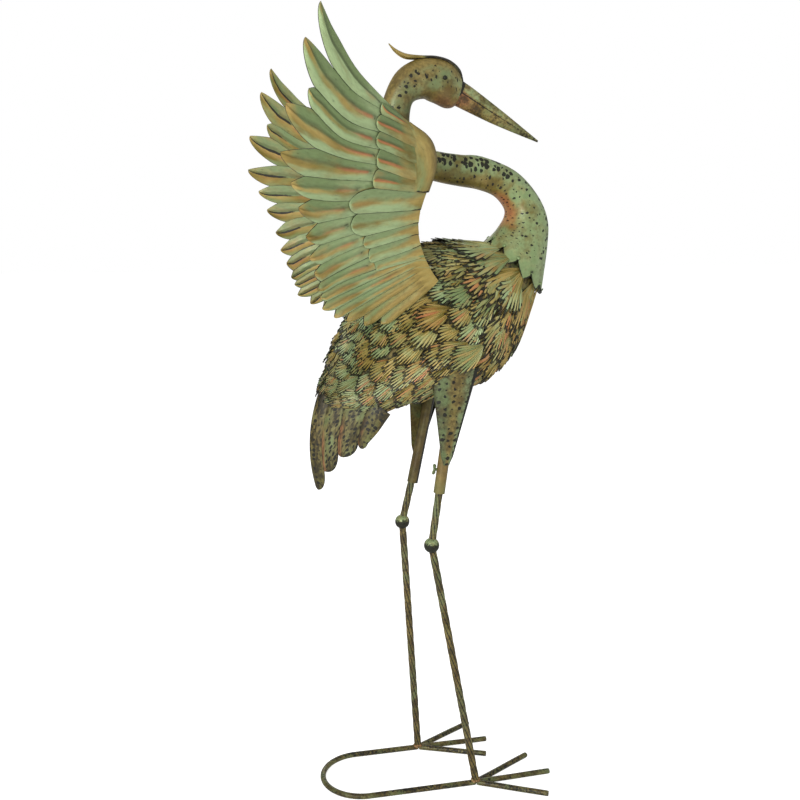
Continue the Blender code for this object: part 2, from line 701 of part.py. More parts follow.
def add_leg(side_name, leg):
    tube_foot, tube_top, knee, foot = leg_points(leg)
    up_tube = (tube_top - tube_foot).normalized()

    # Socket tube
    length = (tube_top - tube_foot).length
    bore = TUBE_RADIUS - TUBE_WALL
    profile = ((bore, 0), (TUBE_RADIUS, 0), (TUBE_RADIUS, length), (bore, length))
    tube = add_piece("leg_tube_" + side_name,
                     turned_mesh("leg_tube_" + side_name, profile, axis_matrix(tube_foot, up_tube)),
                     "olive")

    # Knee ball with a socket for each rod
    up_rod_end = tube_foot + up_tube * ROD_IN_TUBE
    to_tube = (tube_foot - knee).normalized()
    to_foot = (foot - knee).normalized()
    ball_mesh = bmesh.new()
    bmesh.ops.create_uvsphere(ball_mesh, u_segments=12, v_segments=8, radius=KNEE_BALL / 2)
    bmesh.ops.translate(ball_mesh, verts=ball_mesh.verts, vec=knee)
    ball = add_piece("knee_ball_" + side_name, finish_mesh("knee_ball_" + side_name, ball_mesh),
                     "iron")
    seat = KNEE_BALL / 2 - BALL_SOCKET
    for end, direction in (("upper", to_tube), ("lower", to_foot)):
        cutter = add_cutter(f"ball_socket_{end}_{side_name}", cylinder_mesh(
            f"ball_socket_{end}_{side_name}", LEG_ROD / 2 + GAP,
            knee + direction * (seat - GAP), knee + direction * KNEE_BALL))
        boolean(ball, "DIFFERENCE", cutter)

    # Rods: the upper one runs up inside the tube
    upper = [knee + to_tube * seat, tube_foot, up_rod_end]
    add_bar("leg_rod_upper_" + side_name, upper, LEG_ROD, 12, "rod")
    slope = math.hypot(to_foot.x, to_foot.y) / abs(to_foot.z)
    rim = LEG_ROD / 2 * slope
    lower_end = foot + (knee - foot).normalized() * rim
    add_bar("leg_rod_lower_" + side_name, [knee + to_foot * seat, lower_end], LEG_ROD, 12, "rod")

    # Thigh sheet
    thigh = add_piece("thigh_" + side_name, thigh_mesh("thigh_" + side_name, leg), "verdigris")
    solidify(thigh, SHEET, 0.0)

    # Thumb screw through the tube's wall
    turn = math.radians(leg["screw_angle"])
    outward = Vector((math.cos(turn), math.sin(turn), 0))
    outward = (outward - up_tube * outward.dot(up_tube)).normalized()
    seat_rise = THIGH_FOOT_RISE * FIGURE - SCREW_WING / 2 - SCREW_CLEARANCE
    seat_point = tube_foot + up_tube * seat_rise
    hole = add_cutter("screw_hole_" + side_name, cylinder_mesh(
        "screw_hole_" + side_name, SCREW_SHANK / 2 + GAP, seat_point,
        seat_point + outward * TUBE_RADIUS * 2, 8))
    boolean(tube, "DIFFERENCE", hole)
    shank_end = seat_point + outward * (TUBE_RADIUS + SCREW_REACH)
    screw = add_piece("thumb_screw_" + side_name, cylinder_mesh(
        "thumb_screw_" + side_name, SCREW_SHANK / 2,
        seat_point + outward * (LEG_ROD / 2 + GAP), shank_end, 8), "iron")
    wing = bmesh.new()
    bmesh.ops.create_cube(wing, size=1.0)
    shape = Matrix.Diagonal((SCREW_SHANK * 0.45, SCREW_WING, SCREW_SHANK * 1.1, 1))
    turned = Matrix((up_tube.cross(outward), up_tube, outward)).transposed().to_4x4()
    bmesh.ops.transform(wing, matrix=Matrix.Translation(shank_end) @ turned @ shape,
                        verts=wing.verts)
    screw_wing = add_cutter("screw_wing_" + side_name,
                            finish_mesh("screw_wing_" + side_name, wing))
    boolean(screw, "UNION", screw_wing)
    return thigh, tube


def add_toes(side_name, leg):
    """Three toes, mitred where they meet and flat on the floor."""
    start = Vector((leg["foot_x"], leg["side"] * FOOT_Y, BAR_FLAT))
    angles = {toe: -leg["side"] * degrees for toe, (degrees, _share) in leg["toes"].items()}
    flat_turn = math.pi / BAR_SIDES
    for toe, degrees in angles.items():
        angle = math.radians(degrees)
        direction = Vector((math.cos(angle), math.sin(angle), 0))
        name = f"toe_{toe}_{side_name}"
        mesh = cylinder_mesh(name, FLOOR_BAR / 2, start - direction * FLOOR_BAR,
                             start + direction * TOE_LENGTH * leg["toes"][toe][1],
                             BAR_SIDES, flat_turn)
        solid = bmesh.new()
        solid.from_mesh(mesh)
        planes = [(Vector((1, 0, 0)), GAP)]
        for other_name, other in angles.items():
            if other_name == toe:
                continue
            if toe != "middle" and other_name != "middle":
                continue
            mitre = math.radians((degrees + other) / 2)
            across = Vector((-math.sin(mitre), math.cos(mitre), 0))
            if degrees < other:
                across = -across
            planes.append((across, GAP / 2))
        for normal, gap in planes:
            cut = bmesh.ops.bisect_plane(
                solid, geom=list(solid.verts) + list(solid.edges) + list(solid.faces),
                plane_co=start + normal * gap, plane_no=normal, clear_inner=True)
            rim = [e for e in cut["geom_cut"] if isinstance(e, bmesh.types.BMEdge)]
            bmesh.ops.contextual_create(solid, geom=rim)
        bmesh.ops.recalc_face_normals(solid, faces=solid.faces)
        solid.to_mesh(mesh)
        solid.free()
        add_piece(name, mesh, "rod")


def add_floor_loop():
    """One bar bent to a hairpin: from the right foot round to the left foot."""
    radius = LOOP_WIDTH / 2
    points = [Vector((RIGHT_FOOT_X, -radius, BAR_FLAT))]
    turns = 14
    for i in range(turns + 1):
        angle = math.radians(-90 - 180 * i / turns)
        points.append(Vector((LOOP_BEND_X + radius * math.cos(angle),
                              radius * math.sin(angle), BAR_FLAT)))
    points.append(Vector((LEFT_FOOT_X, radius, BAR_FLAT)))
    add_bar("floor_loop", points, FLOOR_BAR, BAR_SIDES, "rod", math.pi / BAR_SIDES)


def build():
    body = add_piece("body", body_mesh(), "tufts")
    add_piece("neck_and_head", neck_mesh("neck_and_head"), "verdigris")
    gap = GAP / FIGURE
    neck_room = add_cutter("neck_room", neck_mesh("neck_room", gap))
    boolean(body, "DIFFERENCE", neck_room)

    beak = add_piece("beak", beak_mesh(), "olive")
    boolean(beak, "DIFFERENCE", neck_room)
    crest = add_piece("crest", crest_mesh(), "olive")
    solidify(crest, SHEET, 0.0)

    for side_name, side in (("right", -1), ("left", 1)):
        add_wing(side_name, side)
        room = add_cutter("tab_room_" + side_name,
                          wing_tab_mesh("tab_room_" + side_name, side, gap))
        boolean(body, "DIFFERENCE", room)

    tail = add_piece("tail", tail_mesh("tail"), "verdigris")
    solidify(tail, SHEET, 0.0)
    tail_room = add_cutter("tail_room", tail_mesh("tail_room", gap * 2))
    solidify(tail_room, SHEET + 2 * GAP, 0.0)
    boolean(body, "DIFFERENCE", tail_room)

    for side_name, leg in LEGS.items():
        add_leg(side_name, leg)
        add_toes(side_name, leg)
        thigh_room = add_cutter("thigh_room_" + side_name,
                                thigh_mesh("thigh_room_" + side_name, leg, gap))
        solidify(thigh_room, SHEET + 2 * GAP, 0.0)
        boolean(body, "DIFFERENCE", thigh_room)
        tube_foot, tube_top, _knee, _foot = leg_points(leg)
        beyond = tube_top + (tube_top - tube_foot).normalized() * GAP
        tube_room = add_cutter("tube_room_" + side_name, cylinder_mesh(
            "tube_room_" + side_name, TUBE_RADIUS + GAP, tube_foot, beyond, 16))
        boolean(body, "DIFFERENCE", tube_room)
    add_floor_loop()


def centre_on_floor():
    """The origin is on the floor, midway between the foremost and rearmost points."""
    bpy.context.view_layer.update()
    graph = bpy.context.evaluated_depsgraph_get()
    across = []
    for piece in statue.objects:
        if piece.type == "EMPTY":
            continue
        evaluated = piece.evaluated_get(graph)
        mesh = evaluated.to_mesh()
        across += [(piece.matrix_world @ v.co).x for v in mesh.vertices]
        evaluated.to_mesh_clear()
    frame.location.x = -(min(across) + max(across)) / 2


build()
centre_on_floor()
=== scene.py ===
# %% [markdown]
# # A metal heron for the garden
# The real statue is thin sheet steel: pressed wings, a bent neck, a body dressed in
# rows of slit tufts, and legs of twisted rod on a floor loop. It is brushed by hand
# with mint, olive, tan and salmon paint over black. This lesson dresses the packed
# solids one piece at a time, and each piece keeps the place and size of its solid.

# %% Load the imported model
import json
import math

import bmesh
import bpy
import numpy as np
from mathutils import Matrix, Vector

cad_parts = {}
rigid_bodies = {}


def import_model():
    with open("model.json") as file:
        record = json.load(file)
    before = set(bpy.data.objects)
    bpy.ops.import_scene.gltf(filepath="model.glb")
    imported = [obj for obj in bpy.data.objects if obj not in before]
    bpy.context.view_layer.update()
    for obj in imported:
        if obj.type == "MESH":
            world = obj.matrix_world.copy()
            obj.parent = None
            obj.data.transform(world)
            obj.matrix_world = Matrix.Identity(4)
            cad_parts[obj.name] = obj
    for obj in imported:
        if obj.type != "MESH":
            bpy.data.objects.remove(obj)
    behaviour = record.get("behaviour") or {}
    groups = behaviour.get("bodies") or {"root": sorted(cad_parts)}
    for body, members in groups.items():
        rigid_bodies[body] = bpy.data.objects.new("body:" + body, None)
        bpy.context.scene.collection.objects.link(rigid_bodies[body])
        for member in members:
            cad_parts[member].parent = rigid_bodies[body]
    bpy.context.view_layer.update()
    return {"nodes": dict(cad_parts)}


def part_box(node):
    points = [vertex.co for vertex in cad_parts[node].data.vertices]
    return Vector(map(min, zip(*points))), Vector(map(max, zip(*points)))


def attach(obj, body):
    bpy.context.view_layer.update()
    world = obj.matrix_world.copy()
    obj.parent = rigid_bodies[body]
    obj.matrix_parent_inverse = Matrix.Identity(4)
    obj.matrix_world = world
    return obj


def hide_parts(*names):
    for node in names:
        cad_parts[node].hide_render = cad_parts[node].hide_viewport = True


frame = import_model()
# front end of the loop's right arm in the drawing, in metres
FOOT_FORWARD = 0.098
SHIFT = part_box("floor_loop")[1].x - FOOT_FORWARD
print("solids:", len(frame["nodes"]), "shift along x in mm:", round(SHIFT * 1000, 2))

# %% [markdown]
# The photograph is taken from the bird's right side, a little from behind and from
# slightly above. A long lens keeps the legs nearly parallel, so the camera stands
# well back. A camera set by eye would do for a first look. This one was measured
# from the floor loop and the two wings, so that a render can be laid over the photo.

# %% Camera at the photograph's angle
LENS_MM = 45.18
CAMERA_PLACE = (-0.3071 + SHIFT, -1.3156, 0.8001)
CAMERA_TILT = math.radians(79.691)
CAMERA_TURN = math.radians(-13.137)

camera_data = bpy.data.cameras.new("camera")
camera_data.sensor_width = 36.0
camera_data.lens = LENS_MM
camera = bpy.data.objects.new("camera", camera_data)
camera.location = CAMERA_PLACE
camera.rotation_euler = (CAMERA_TILT, 0.0, CAMERA_TURN)
bpy.context.scene.collection.objects.link(camera)
bpy.context.scene.camera = camera
print("camera lens in mm:", camera_data.lens)

# %% [markdown]
# Most pieces are curved sheet. The same few steps serve them all: smooth lines
# through measured points, a grid of points between two such lines, and a skin that
# gives the grid a thickness. Every point also carries painted values, such as how
# much mint or salmon the brush left there, which the materials read later.

# %% Smooth lines through measured points
def smooth_rows(table, t):
    """Catmull-Rom curve through the rows of a table, t from 0 to 1."""
    rows = np.asarray(table, float)
    last = len(rows) - 1
    place = np.clip(np.asarray(t, float), 0, 1) * last
    i = np.minimum(place.astype(int), last - 1)
    f = (place - i)[..., None]
    a, b = rows[np.maximum(i - 1, 0)], rows[i]
    c, d = rows[i + 1], rows[np.minimum(i + 2, last)]
    return 0.5 * (2 * b + (c - a) * f + (2 * a - 5 * b + 4 * c - d) * f ** 2
                  + (3 * b - a - 3 * c + d) * f ** 3)


def even_line(points, count):
    """The smooth line through points, as count evenly spaced points."""
    fine = smooth_rows(points, np.linspace(0, 1, 160))
    steps = np.linalg.norm(np.diff(fine, axis=0), axis=1)
    run = np.concatenate([[0], np.cumsum(steps)])
    want = np.linspace(0, run[-1], count)
    return np.stack([np.interp(want, run, fine[:, k]) for k in range(fine.shape[1])], 1)


def ramp(low, high, value):
    """0 below low, 1 above high, and smooth between them."""
    t = np.clip((value - low) / (high - low), 0, 1)
    return t * t * (3 - 2 * t)


print("a line of 5 points:", even_line([(0, 0), (3, 4), (6, 8)], 5).round(1).tolist())

# %% Skin that collects the faces of one piece
PAINTS = ("mint", "ochre", "blush", "dark", "shade", "dabs", "along", "across", "u", "v",
          "inside", "seed")


class Skin:
    """Points, faces and painted values of one piece while it is being made."""

    def __init__(self):
        self.points, self.faces, self.count = [], [], 0
        self.paint = {name: [] for name in PAINTS}

    def add(self, points, faces, paint):
        points = np.asarray(points, float).reshape(-1, 3)
        self.points.append(points)
        self.faces += [tuple(i + self.count for i in face) for face in faces]
        self.count += len(points)
        for name in PAINTS:
            values = np.asarray(paint.get(name, 0.0), float)
            self.paint[name].append(np.broadcast_to(values.reshape(-1), (len(points),)))

    def piece(self, name, material, nodes, crease=38.0):
        """The finished object, riding on the statue and standing for its solids."""
        mesh = bpy.data.meshes.new(name)
        mesh.from_pydata(np.concatenate(self.points).tolist(), [], self.faces)
        for key in PAINTS:
            layer = mesh.attributes.new(key, "FLOAT", "POINT")
            layer.data.foreach_set("value", np.concatenate(self.paint[key]).astype(np.float32))
        work = bmesh.new()
        work.from_mesh(mesh)
        bmesh.ops.recalc_face_normals(work, faces=work.faces)
        work.to_mesh(mesh)
        work.free()
        mesh.shade_smooth()
        mesh.set_sharp_from_angle(angle=math.radians(crease))
        mesh.materials.append(material)
        made = bpy.data.objects.new(name, mesh)
        bpy.context.scene.collection.objects.link(made)
        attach(made, "root")
        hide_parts(*nodes)
        print(name, "faces:", len(mesh.polygons))
        return made


print("painted values at each point:", len(PAINTS))

# %% Faces of a grid and distances over it
def grid_faces(rows, columns, wrap=False, start=0):
    """Four-sided faces between the points of a grid; wrap joins its last column to its first."""
    faces = []
    for r in range(rows - 1):
        for c in range(columns if wrap else columns - 1):
            d = (c + 1) % columns
            low, high = start + r * columns, start + (r + 1) * columns
            faces.append((low + c, low + d, high + d, high + c))
    return faces


def surface_run(grid):
    """Distances over a grid in metres: u down its rows and v across them."""
    down = np.linalg.norm(np.diff(grid, axis=0), axis=2).mean(1)
    over = np.linalg.norm(np.diff(grid, axis=1), axis=2)
    u = np.concatenate([[0], np.cumsum(down)])[:, None] + np.zeros(grid.shape[:2])
    v = np.concatenate([np.zeros((len(grid), 1)), np.cumsum(over, axis=1)], 1)
    return {"u": u, "v": v - v[:, -1:] / 2}


print("a sheet of 3 by 4 points has", len(grid_faces(3, 4)), "faces a side")

# %% Sheets with a thickness and closed tubes
def add_sheet(skin, outer, inner, paint, inner_paint=None):
    """Two grids of the same size, joined round their rim."""
    paint = {**surface_run(outer), **paint}
    back_paint = {**paint, **(inner_paint or {})}
    rows, columns = outer.shape[:2]
    half = rows * columns
    faces = grid_faces(rows, columns)
    faces += [tuple(reversed(f)) for f in grid_faces(rows, columns, start=half)]
    rim = list(range(columns))
    rim += [r * columns + columns - 1 for r in range(1, rows)]
    rim += [(rows - 1) * columns + c for c in range(columns - 2, -1, -1)]
    rim += [r * columns for r in range(rows - 2, 0, -1)]
    for a, b in zip(rim, rim[1:] + rim[:1]):
        faces.append((b, a, a + half, b + half))
    both = {k: np.concatenate([np.broadcast_to(v, (rows, columns)).reshape(-1),
                               np.broadcast_to(back_paint[k], (rows, columns)).reshape(-1)])
            for k, v in paint.items()}
    both["inside"] = np.repeat([0.0, 1.0], half)
    skin.add(np.concatenate([outer.reshape(-1, 3), inner.reshape(-1, 3)]), faces, both)


def add_tube(skin, rings, paint, closed=True):
    """A skin round a row of rings; closed puts a face on each of its two ends."""
    rows, columns = rings.shape[:2]
    faces = grid_faces(rows, columns, wrap=True)
    if closed:
        faces.append(tuple(range(columns - 1, -1, -1)))
        faces.append(tuple((rows - 1) * columns + c for c in range(columns)))
    paint = {**surface_run(rings), **paint}
    spread = {k: np.broadcast_to(v, (rows, columns)) for k, v in paint.items()}
    skin.add(rings, faces, spread)


def placed(points):
    """From the drawing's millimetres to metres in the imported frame."""
    return np.asarray(points) * 0.001 + np.array([SHIFT, 0, 0])


trial = Skin()
trial_face = np.zeros((3, 4, 3))
add_sheet(trial, trial_face, trial_face, {})
print("both sides and the rim of that sheet:", len(trial.faces), "faces")

# %% [markdown]
# Paint comes before the pieces. On the real statue a black ground is brushed with
# thin coats, so the colours break up along the brush strokes and the ground shows
# in every groove. A painted picture could be wrapped round each piece, but it blurs
# when the camera comes near, and each piece would need its own. Nodes stay sharp at
# any distance. One node group makes the brushed break-up for all materials, one
# makes rows of short black dabs, and one makes the fine grain of sprayed lacquer.

# %% Helpers for shader nodes
def colour(red, green, blue):
    """A screen colour of 0 to 255 as the linear colour that Blender wants."""
    return tuple(((v / 255 + 0.055) / 1.055) ** 2.4 if v > 10 else v / 3294.6
                 for v in (red, green, blue)) + (1.0,)


def put(tree, kind, settings=None, **inputs):
    """A node with its settings, and its inputs given as values or as sockets.
    An input has its own name, or the letter i and its number."""
    node = tree.nodes.new("ShaderNode" + kind)
    for key, value in (settings or {}).items():
        setattr(node, key, value)
    for key, value in inputs.items():
        socket = node.inputs[int(key[1:])] if key[1:].isdigit() else node.inputs[key]
        if isinstance(value, bpy.types.NodeSocket):
            tree.links.new(value, socket)
        else:
            socket.default_value = value
    return node


def sums(tree, operation, a, b, c=0.0, clamp=False):
    """The result of one Math node."""
    settings = {"operation": operation, "use_clamp": clamp}
    return put(tree, "Math", settings, i0=a, i1=b, i2=c).outputs[0]


def coat(tree, share, under, over):
    """One colour laid over another where share is 1."""
    return put(tree, "Mix", {"data_type": "RGBA"}, i0=share, i6=under, i7=over).outputs[2]


def soft_step(tree, value, low, high):
    """0 below low, 1 above high and smooth between, as a node; low may be the larger."""
    settings = {"interpolation_type": "SMOOTHSTEP"}
    return put(tree, "MapRange", settings, i0=value, i1=low, i2=high).outputs[0]


def new_group(name, takes, gives):
    """A node group; takes and gives are (name, socket kind, starting value) rows."""
    tree = bpy.data.node_groups.new(name, "ShaderNodeTree")
    for label, kind, value in takes:
        socket = tree.interface.new_socket(label, in_out="INPUT", socket_type="NodeSocket" + kind)
        if value is not None:
            socket.default_value = value
    for label, kind in gives:
        tree.interface.new_socket(label, in_out="OUTPUT", socket_type="NodeSocket" + kind)
    return tree, tree.nodes.new("NodeGroupInput").outputs, tree.nodes.new("NodeGroupOutput").inputs


print("a middle grey of 128 as a linear colour:", round(colour(128, 128, 128)[0], 4))

# %% Colours of the coats
MINT = colour(160, 180, 130)
VERDIGRIS = colour(122, 142, 92)
TAN = colour(180, 156, 88)
OLIVE = colour(128, 112, 44)
SALMON = colour(190, 120, 80)
BLACK = colour(22, 22, 15)
UMBER = colour(48, 42, 20)
print("colours on the palette:", len((MINT, VERDIGRIS, TAN, OLIVE, SALMON, BLACK, UMBER)))

# %% Brushed coats of paint over black
brush_tree, takes, gives = new_group(
    "brushed coats",
    [("Mint", "Float", 0.5), ("Ochre", "Float", 0.3), ("Blush", "Float", 0.0),
     ("Dark", "Float", 0.0), ("Shade", "Float", 0.0), ("Wash", "Float", 0.0),
     ("Seed", "Float", 0.0), ("Vector", "Vector", None),
     ("Stroke", "Float", 60.0)],
    [("Color", "Color"), ("Coverage", "Float"), ("Height", "Float")])
shifted = put(brush_tree, "VectorMath", {"operation": "ADD"}, i0=takes["Vector"],
              i1=put(brush_tree, "CombineXYZ", i0=takes["Seed"], i1=takes["Seed"],
                     i2=takes["Seed"]).outputs[0]).outputs[0]
broad = put(brush_tree, "TexNoise", Vector=shifted, Scale=takes["Stroke"], Detail=3.0).outputs[0]
fine = put(brush_tree, "TexNoise", Vector=shifted, Detail=5.0,
           Scale=sums(brush_tree, "MULTIPLY", takes["Stroke"], 4.5)).outputs[0]
patch = put(brush_tree, "TexNoise", Vector=shifted, Detail=2.0,
            Scale=sums(brush_tree, "MULTIPLY", takes["Stroke"], 0.4)).outputs[0]


def broken(value, noise, spread, low=0.34, high=0.66):
    """A painted value whose edge is broken up by a noise."""
    wobble = sums(brush_tree, "MULTIPLY", sums(brush_tree, "SUBTRACT", noise, 0.5), spread)
    return soft_step(brush_tree, sums(brush_tree, "ADD", value, wobble), low, high)


coats = coat(brush_tree, broken(takes["Mint"], broad, 1.1, 0.1, 0.9), VERDIGRIS, MINT)
gold = coat(brush_tree, soft_step(brush_tree, patch, 0.4, 0.64), TAN, OLIVE)
coats = coat(brush_tree, broken(takes["Ochre"], broad, 1.5, 0.12, 0.9), coats, gold)
pink = sums(brush_tree, "MULTIPLY", broken(takes["Blush"], broad, 1.1, 0.15, 1.0), 0.85)
coats = coat(brush_tree, pink, coats, SALMON)
clouds = sums(brush_tree, "ADD", sums(brush_tree, "MULTIPLY", broad, 0.55),
              sums(brush_tree, "MULTIPLY", fine, 0.45))
wash = sums(brush_tree, "MULTIPLY", soft_step(brush_tree, clouds, 0.38, 0.62), takes["Wash"])
# Shade lays umber over the coats: painted shade on some pieces, a darker tone on others.
shade = sums(brush_tree, "ADD", wash, takes["Shade"], clamp=True)
coats = coat(brush_tree, shade, coats, UMBER)
speck = soft_step(brush_tree, fine, 0.64, 0.76)
coats = coat(brush_tree, sums(brush_tree, "MULTIPLY", speck, 0.3), coats, BLACK)
# Dark lays black: the black ground, and on some pieces painted shade.
ground = broken(takes["Dark"], fine, 1.1)
coats = coat(brush_tree, sums(brush_tree, "MULTIPLY", ground, 0.96), coats, BLACK)
brush_tree.links.new(coats, gives["Color"])
brush_tree.links.new(sums(brush_tree, "SUBTRACT", 1.0, ground), gives["Coverage"])
brush_tree.links.new(sums(brush_tree, "MULTIPLY", fine, 0.6), gives["Height"])
print("brushed coats:", len(brush_tree.nodes), "nodes")

# %% Rows of short black dabs
dab_tree, takes, gives = new_group(
    "black dabs",
    [("Vector", "Vector", None), ("Amount", "Float", 0.0), ("Spread", "Float", 0.6)],
    [("Mask", "Float")])
wave = put(dab_tree, "TexNoise", Vector=takes["Vector"], Scale=2.2, Detail=2.0).outputs[1]
bent = put(dab_tree, "VectorMath", {"operation": "MULTIPLY_ADD"}, i0=wave,
           i1=(0.5, 0.5, 0.0), i2=takes["Vector"]).outputs[0]
cells = put(dab_tree, "TexVoronoi", {"feature": "F1", "voronoi_dimensions": "2D"}, Vector=bent,
            Scale=1.0, Randomness=takes["Spread"])
size = put(dab_tree, "SeparateColor", i0=cells.outputs["Color"]).outputs[0]
reach = sums(dab_tree, "MULTIPLY", takes["Amount"], sums(dab_tree, "ADD", size, 0.3))
inside = sums(dab_tree, "SUBTRACT", sums(dab_tree, "MULTIPLY", reach, 0.34),
              cells.outputs["Distance"])
dab_tree.links.new(soft_step(dab_tree, inside, -0.03, 0.1), gives["Mask"])
print("black dabs:", len(dab_tree.nodes), "nodes")

# %% Fine grain of the lacquer
grain_tree, takes, gives = new_group(
    "lacquer grain", [("Vector", "Vector", None), ("Coverage", "Float", 1.0)],
    [("Roughness", "Float"), ("Height", "Float")])
sand = put(grain_tree, "TexNoise", Vector=takes["Vector"], Scale=900.0, Detail=3.0).outputs[0]
cloud = put(grain_tree, "TexNoise", Vector=takes["Vector"], Scale=45.0, Detail=2.0).outputs[0]
dull = put(grain_tree, "MapRange", i0=cloud, i1=0.3, i2=0.7, i3=0.42, i4=0.6).outputs[0]
dull = sums(grain_tree, "SUBTRACT", dull, sums(grain_tree, "MULTIPLY", takes["Coverage"], 0.04))
grain_tree.links.new(dull, gives["Roughness"])
grain_tree.links.new(sums(grain_tree, "MULTIPLY", sand, 0.4), gives["Height"])
print("lacquer grain:", len(grain_tree.nodes), "nodes")

# %% [markdown]
# A material reads the painted values of its piece and hands them to the groups.
# The far edge of a feather is drawn from the value across it, because a line half a
# millimetre wide is finer than the mesh, and the node tree draws it at any size.
# A material for every piece, built node by node, would also work. One function with
# a few settings keeps all the finishes alike, as one painter's brush would.

# %% A material of brushed paint
def painted(name, stroke, dabs_a_metre=(140.0, 110.0), dab_spread=0.6, edge=0.0, ridge=0.0,
            metallic=0.15, inner_line=0.0, flute=0.0, wash=0.3, stretch=0.0):
    """Brushed paint that follows the painted values of a piece.
    stroke is the strokes' scale, and stretch draws them out along the piece.
    dabs_a_metre is how many black dabs fit along and across a metre, and dab_spread
    how far they stray from their rows. wash is how much umber clouds the coats.
    edge is the dark line along a feather, ridge the dark between a tuft's fingers,
    inner_line the dark centre line of a feather's inner face, flute the dark of a
    rod's flutes."""
    material = bpy.data.materials.new(name)
    material.use_nodes = True
    tree = material.node_tree
    shader = tree.nodes["Principled BSDF"]
    value = {key: put(tree, "Attribute", {"attribute_name": key}).outputs["Fac"]
             for key in PAINTS}
    where = put(tree, "TexCoord").outputs["Object"]
    brushed = where
    if stretch:
        brushed = put(tree, "CombineXYZ", i0=sums(tree, "MULTIPLY", value["u"], stretch),
                      i1=value["v"]).outputs[0]
    dark = value["dark"]
    if dabs_a_metre:
        over = put(tree, "CombineXYZ", i0=sums(tree, "MULTIPLY", value["u"], dabs_a_metre[0]),
                   i1=sums(tree, "MULTIPLY", value["v"], dabs_a_metre[1])).outputs[0]
        dabs = put(tree, "Group", {"node_tree": dab_tree}, Vector=over,
                   Amount=value["dabs"], Spread=dab_spread).outputs["Mask"]
        dark = sums(tree, "MAXIMUM", dark, dabs)
    if edge:
        rim = soft_step(tree, sums(tree, "ABSOLUTE", value["across"], 0.0), 1 - edge, 1.0)
        dark = sums(tree, "MAXIMUM", dark, rim)
    if inner_line:
        off = sums(tree, "ABSOLUTE", value["across"], 0.0)
        line = soft_step(tree, off, inner_line, inner_line * 0.3)
        line = sums(tree, "MULTIPLY", line, soft_step(tree, value["along"], 0.25, 0.5))
        dark = sums(tree, "MAXIMUM", dark, sums(tree, "MULTIPLY", line, value["inside"]))
    if ridge:
        slit = sums(tree, "MULTIPLY", soft_step(tree, value["along"], 0.5, 0.85), 0.3)
        valley = soft_step(tree, sums(tree, "SUBTRACT", value["across"], slit), ridge, ridge * 0.3)
        tip = soft_step(tree, value["along"], 0.8, 0.97)
        dark = sums(tree, "MAXIMUM", dark, sums(tree, "MAXIMUM", valley,
                                                sums(tree, "MULTIPLY", tip, 0.76)))
    if flute:
        dark = sums(tree, "MAXIMUM", dark, soft_step(tree, value["across"], flute, 0.05))
    coats = put(tree, "Group", {"node_tree": brush_tree}, Mint=value["mint"],
                Ochre=value["ochre"], Blush=value["blush"], Dark=dark, Shade=value["shade"],
                Wash=wash, Seed=value["seed"], Vector=brushed, Stroke=stroke)
    grain = put(tree, "Group", {"node_tree": grain_tree}, Vector=where,
                Coverage=coats.outputs["Coverage"])
    height = sums(tree, "ADD", coats.outputs["Height"], grain.outputs["Height"])
    bump = put(tree, "Bump", Strength=0.22, Distance=0.0008, Height=height)
    tree.links.new(coats.outputs["Color"], shader.inputs["Base Color"])
    tree.links.new(grain.outputs["Roughness"], shader.inputs["Roughness"])
    tree.links.new(bump.outputs[0], shader.inputs["Normal"])
    shader.inputs["Metallic"].default_value = metallic
    shader.inputs["Specular IOR Level"].default_value = 0.4
    return material


print("shader node groups:", len(bpy.data.node_groups))

# %% [markdown]
# Each finish is the same paint with other settings. The strokes on wings and tail
# run along the feathers. Neck, tail, thighs and bars have rows of dabs. The tubes
# are nearly plain, and the fittings are the darkest and the most like bare metal.

# %% The finishes of this statue
wing_paint = painted("brushed_wing_paint", 70.0, (), edge=0.06, inner_line=0.16, wash=0.2,
                     stretch=0.4)
neck_paint = painted("dabbed_neck_paint", 60.0, (140.0, 100.0), 0.9, wash=0.34)
tuft_paint = painted("tuft_paint", 45.0, (), ridge=0.24, wash=0.0)
tail_paint = painted("olive_tail_paint", 60.0, (150.0, 125.0), 0.5, edge=0.05, wash=0.6,
                     stretch=0.5)
crest_paint = painted("olive_crest_paint", 80.0, (), wash=0.25)
beak_paint = painted("beak_paint", 70.0, (), wash=0.62)
thigh_paint = painted("dabbed_thigh_paint", 60.0, (115.0, 100.0), 0.4, wash=0.4)
bar_paint = painted("mottled_bar_paint", 75.0, (150.0, 130.0), 0.9, flute=0.95, wash=0.4)
tube_paint = painted("olive_tube_paint", 30.0, (), wash=0.2)
fitting_paint = painted("dark_fitting_paint", 90.0, (), metallic=0.3, wash=0.3)
print("materials:", len(bpy.data.materials))

# %% [markdown]
# Each wing is one pressed sheet. Its feathers look like blades that lap one over
# the next, each with a raised rib. Pressing one height field would blur the steps
# between the feathers, so every feather is a blade of its own, with its lower edge
# standing on the next blade and its upper edge tucked under the one above.

# %% The wing's own plane
# millimetres of the drawing, and angles of the sheet
WING_SHOULDER = np.array([30.0, 96.0, 865.0])
WING_YAW = math.radians(28.0)
WING_LEAN = math.radians(18.1)
# the sheet swells outwards round this point of its plane
SWELL_CENTRE = (-20.0, -145.0)
SWELL_REACH = 210.0
SWELL_HEIGHT = 32.0
# thickness of the sheet that is shown, in millimetres
SHEET = 0.8


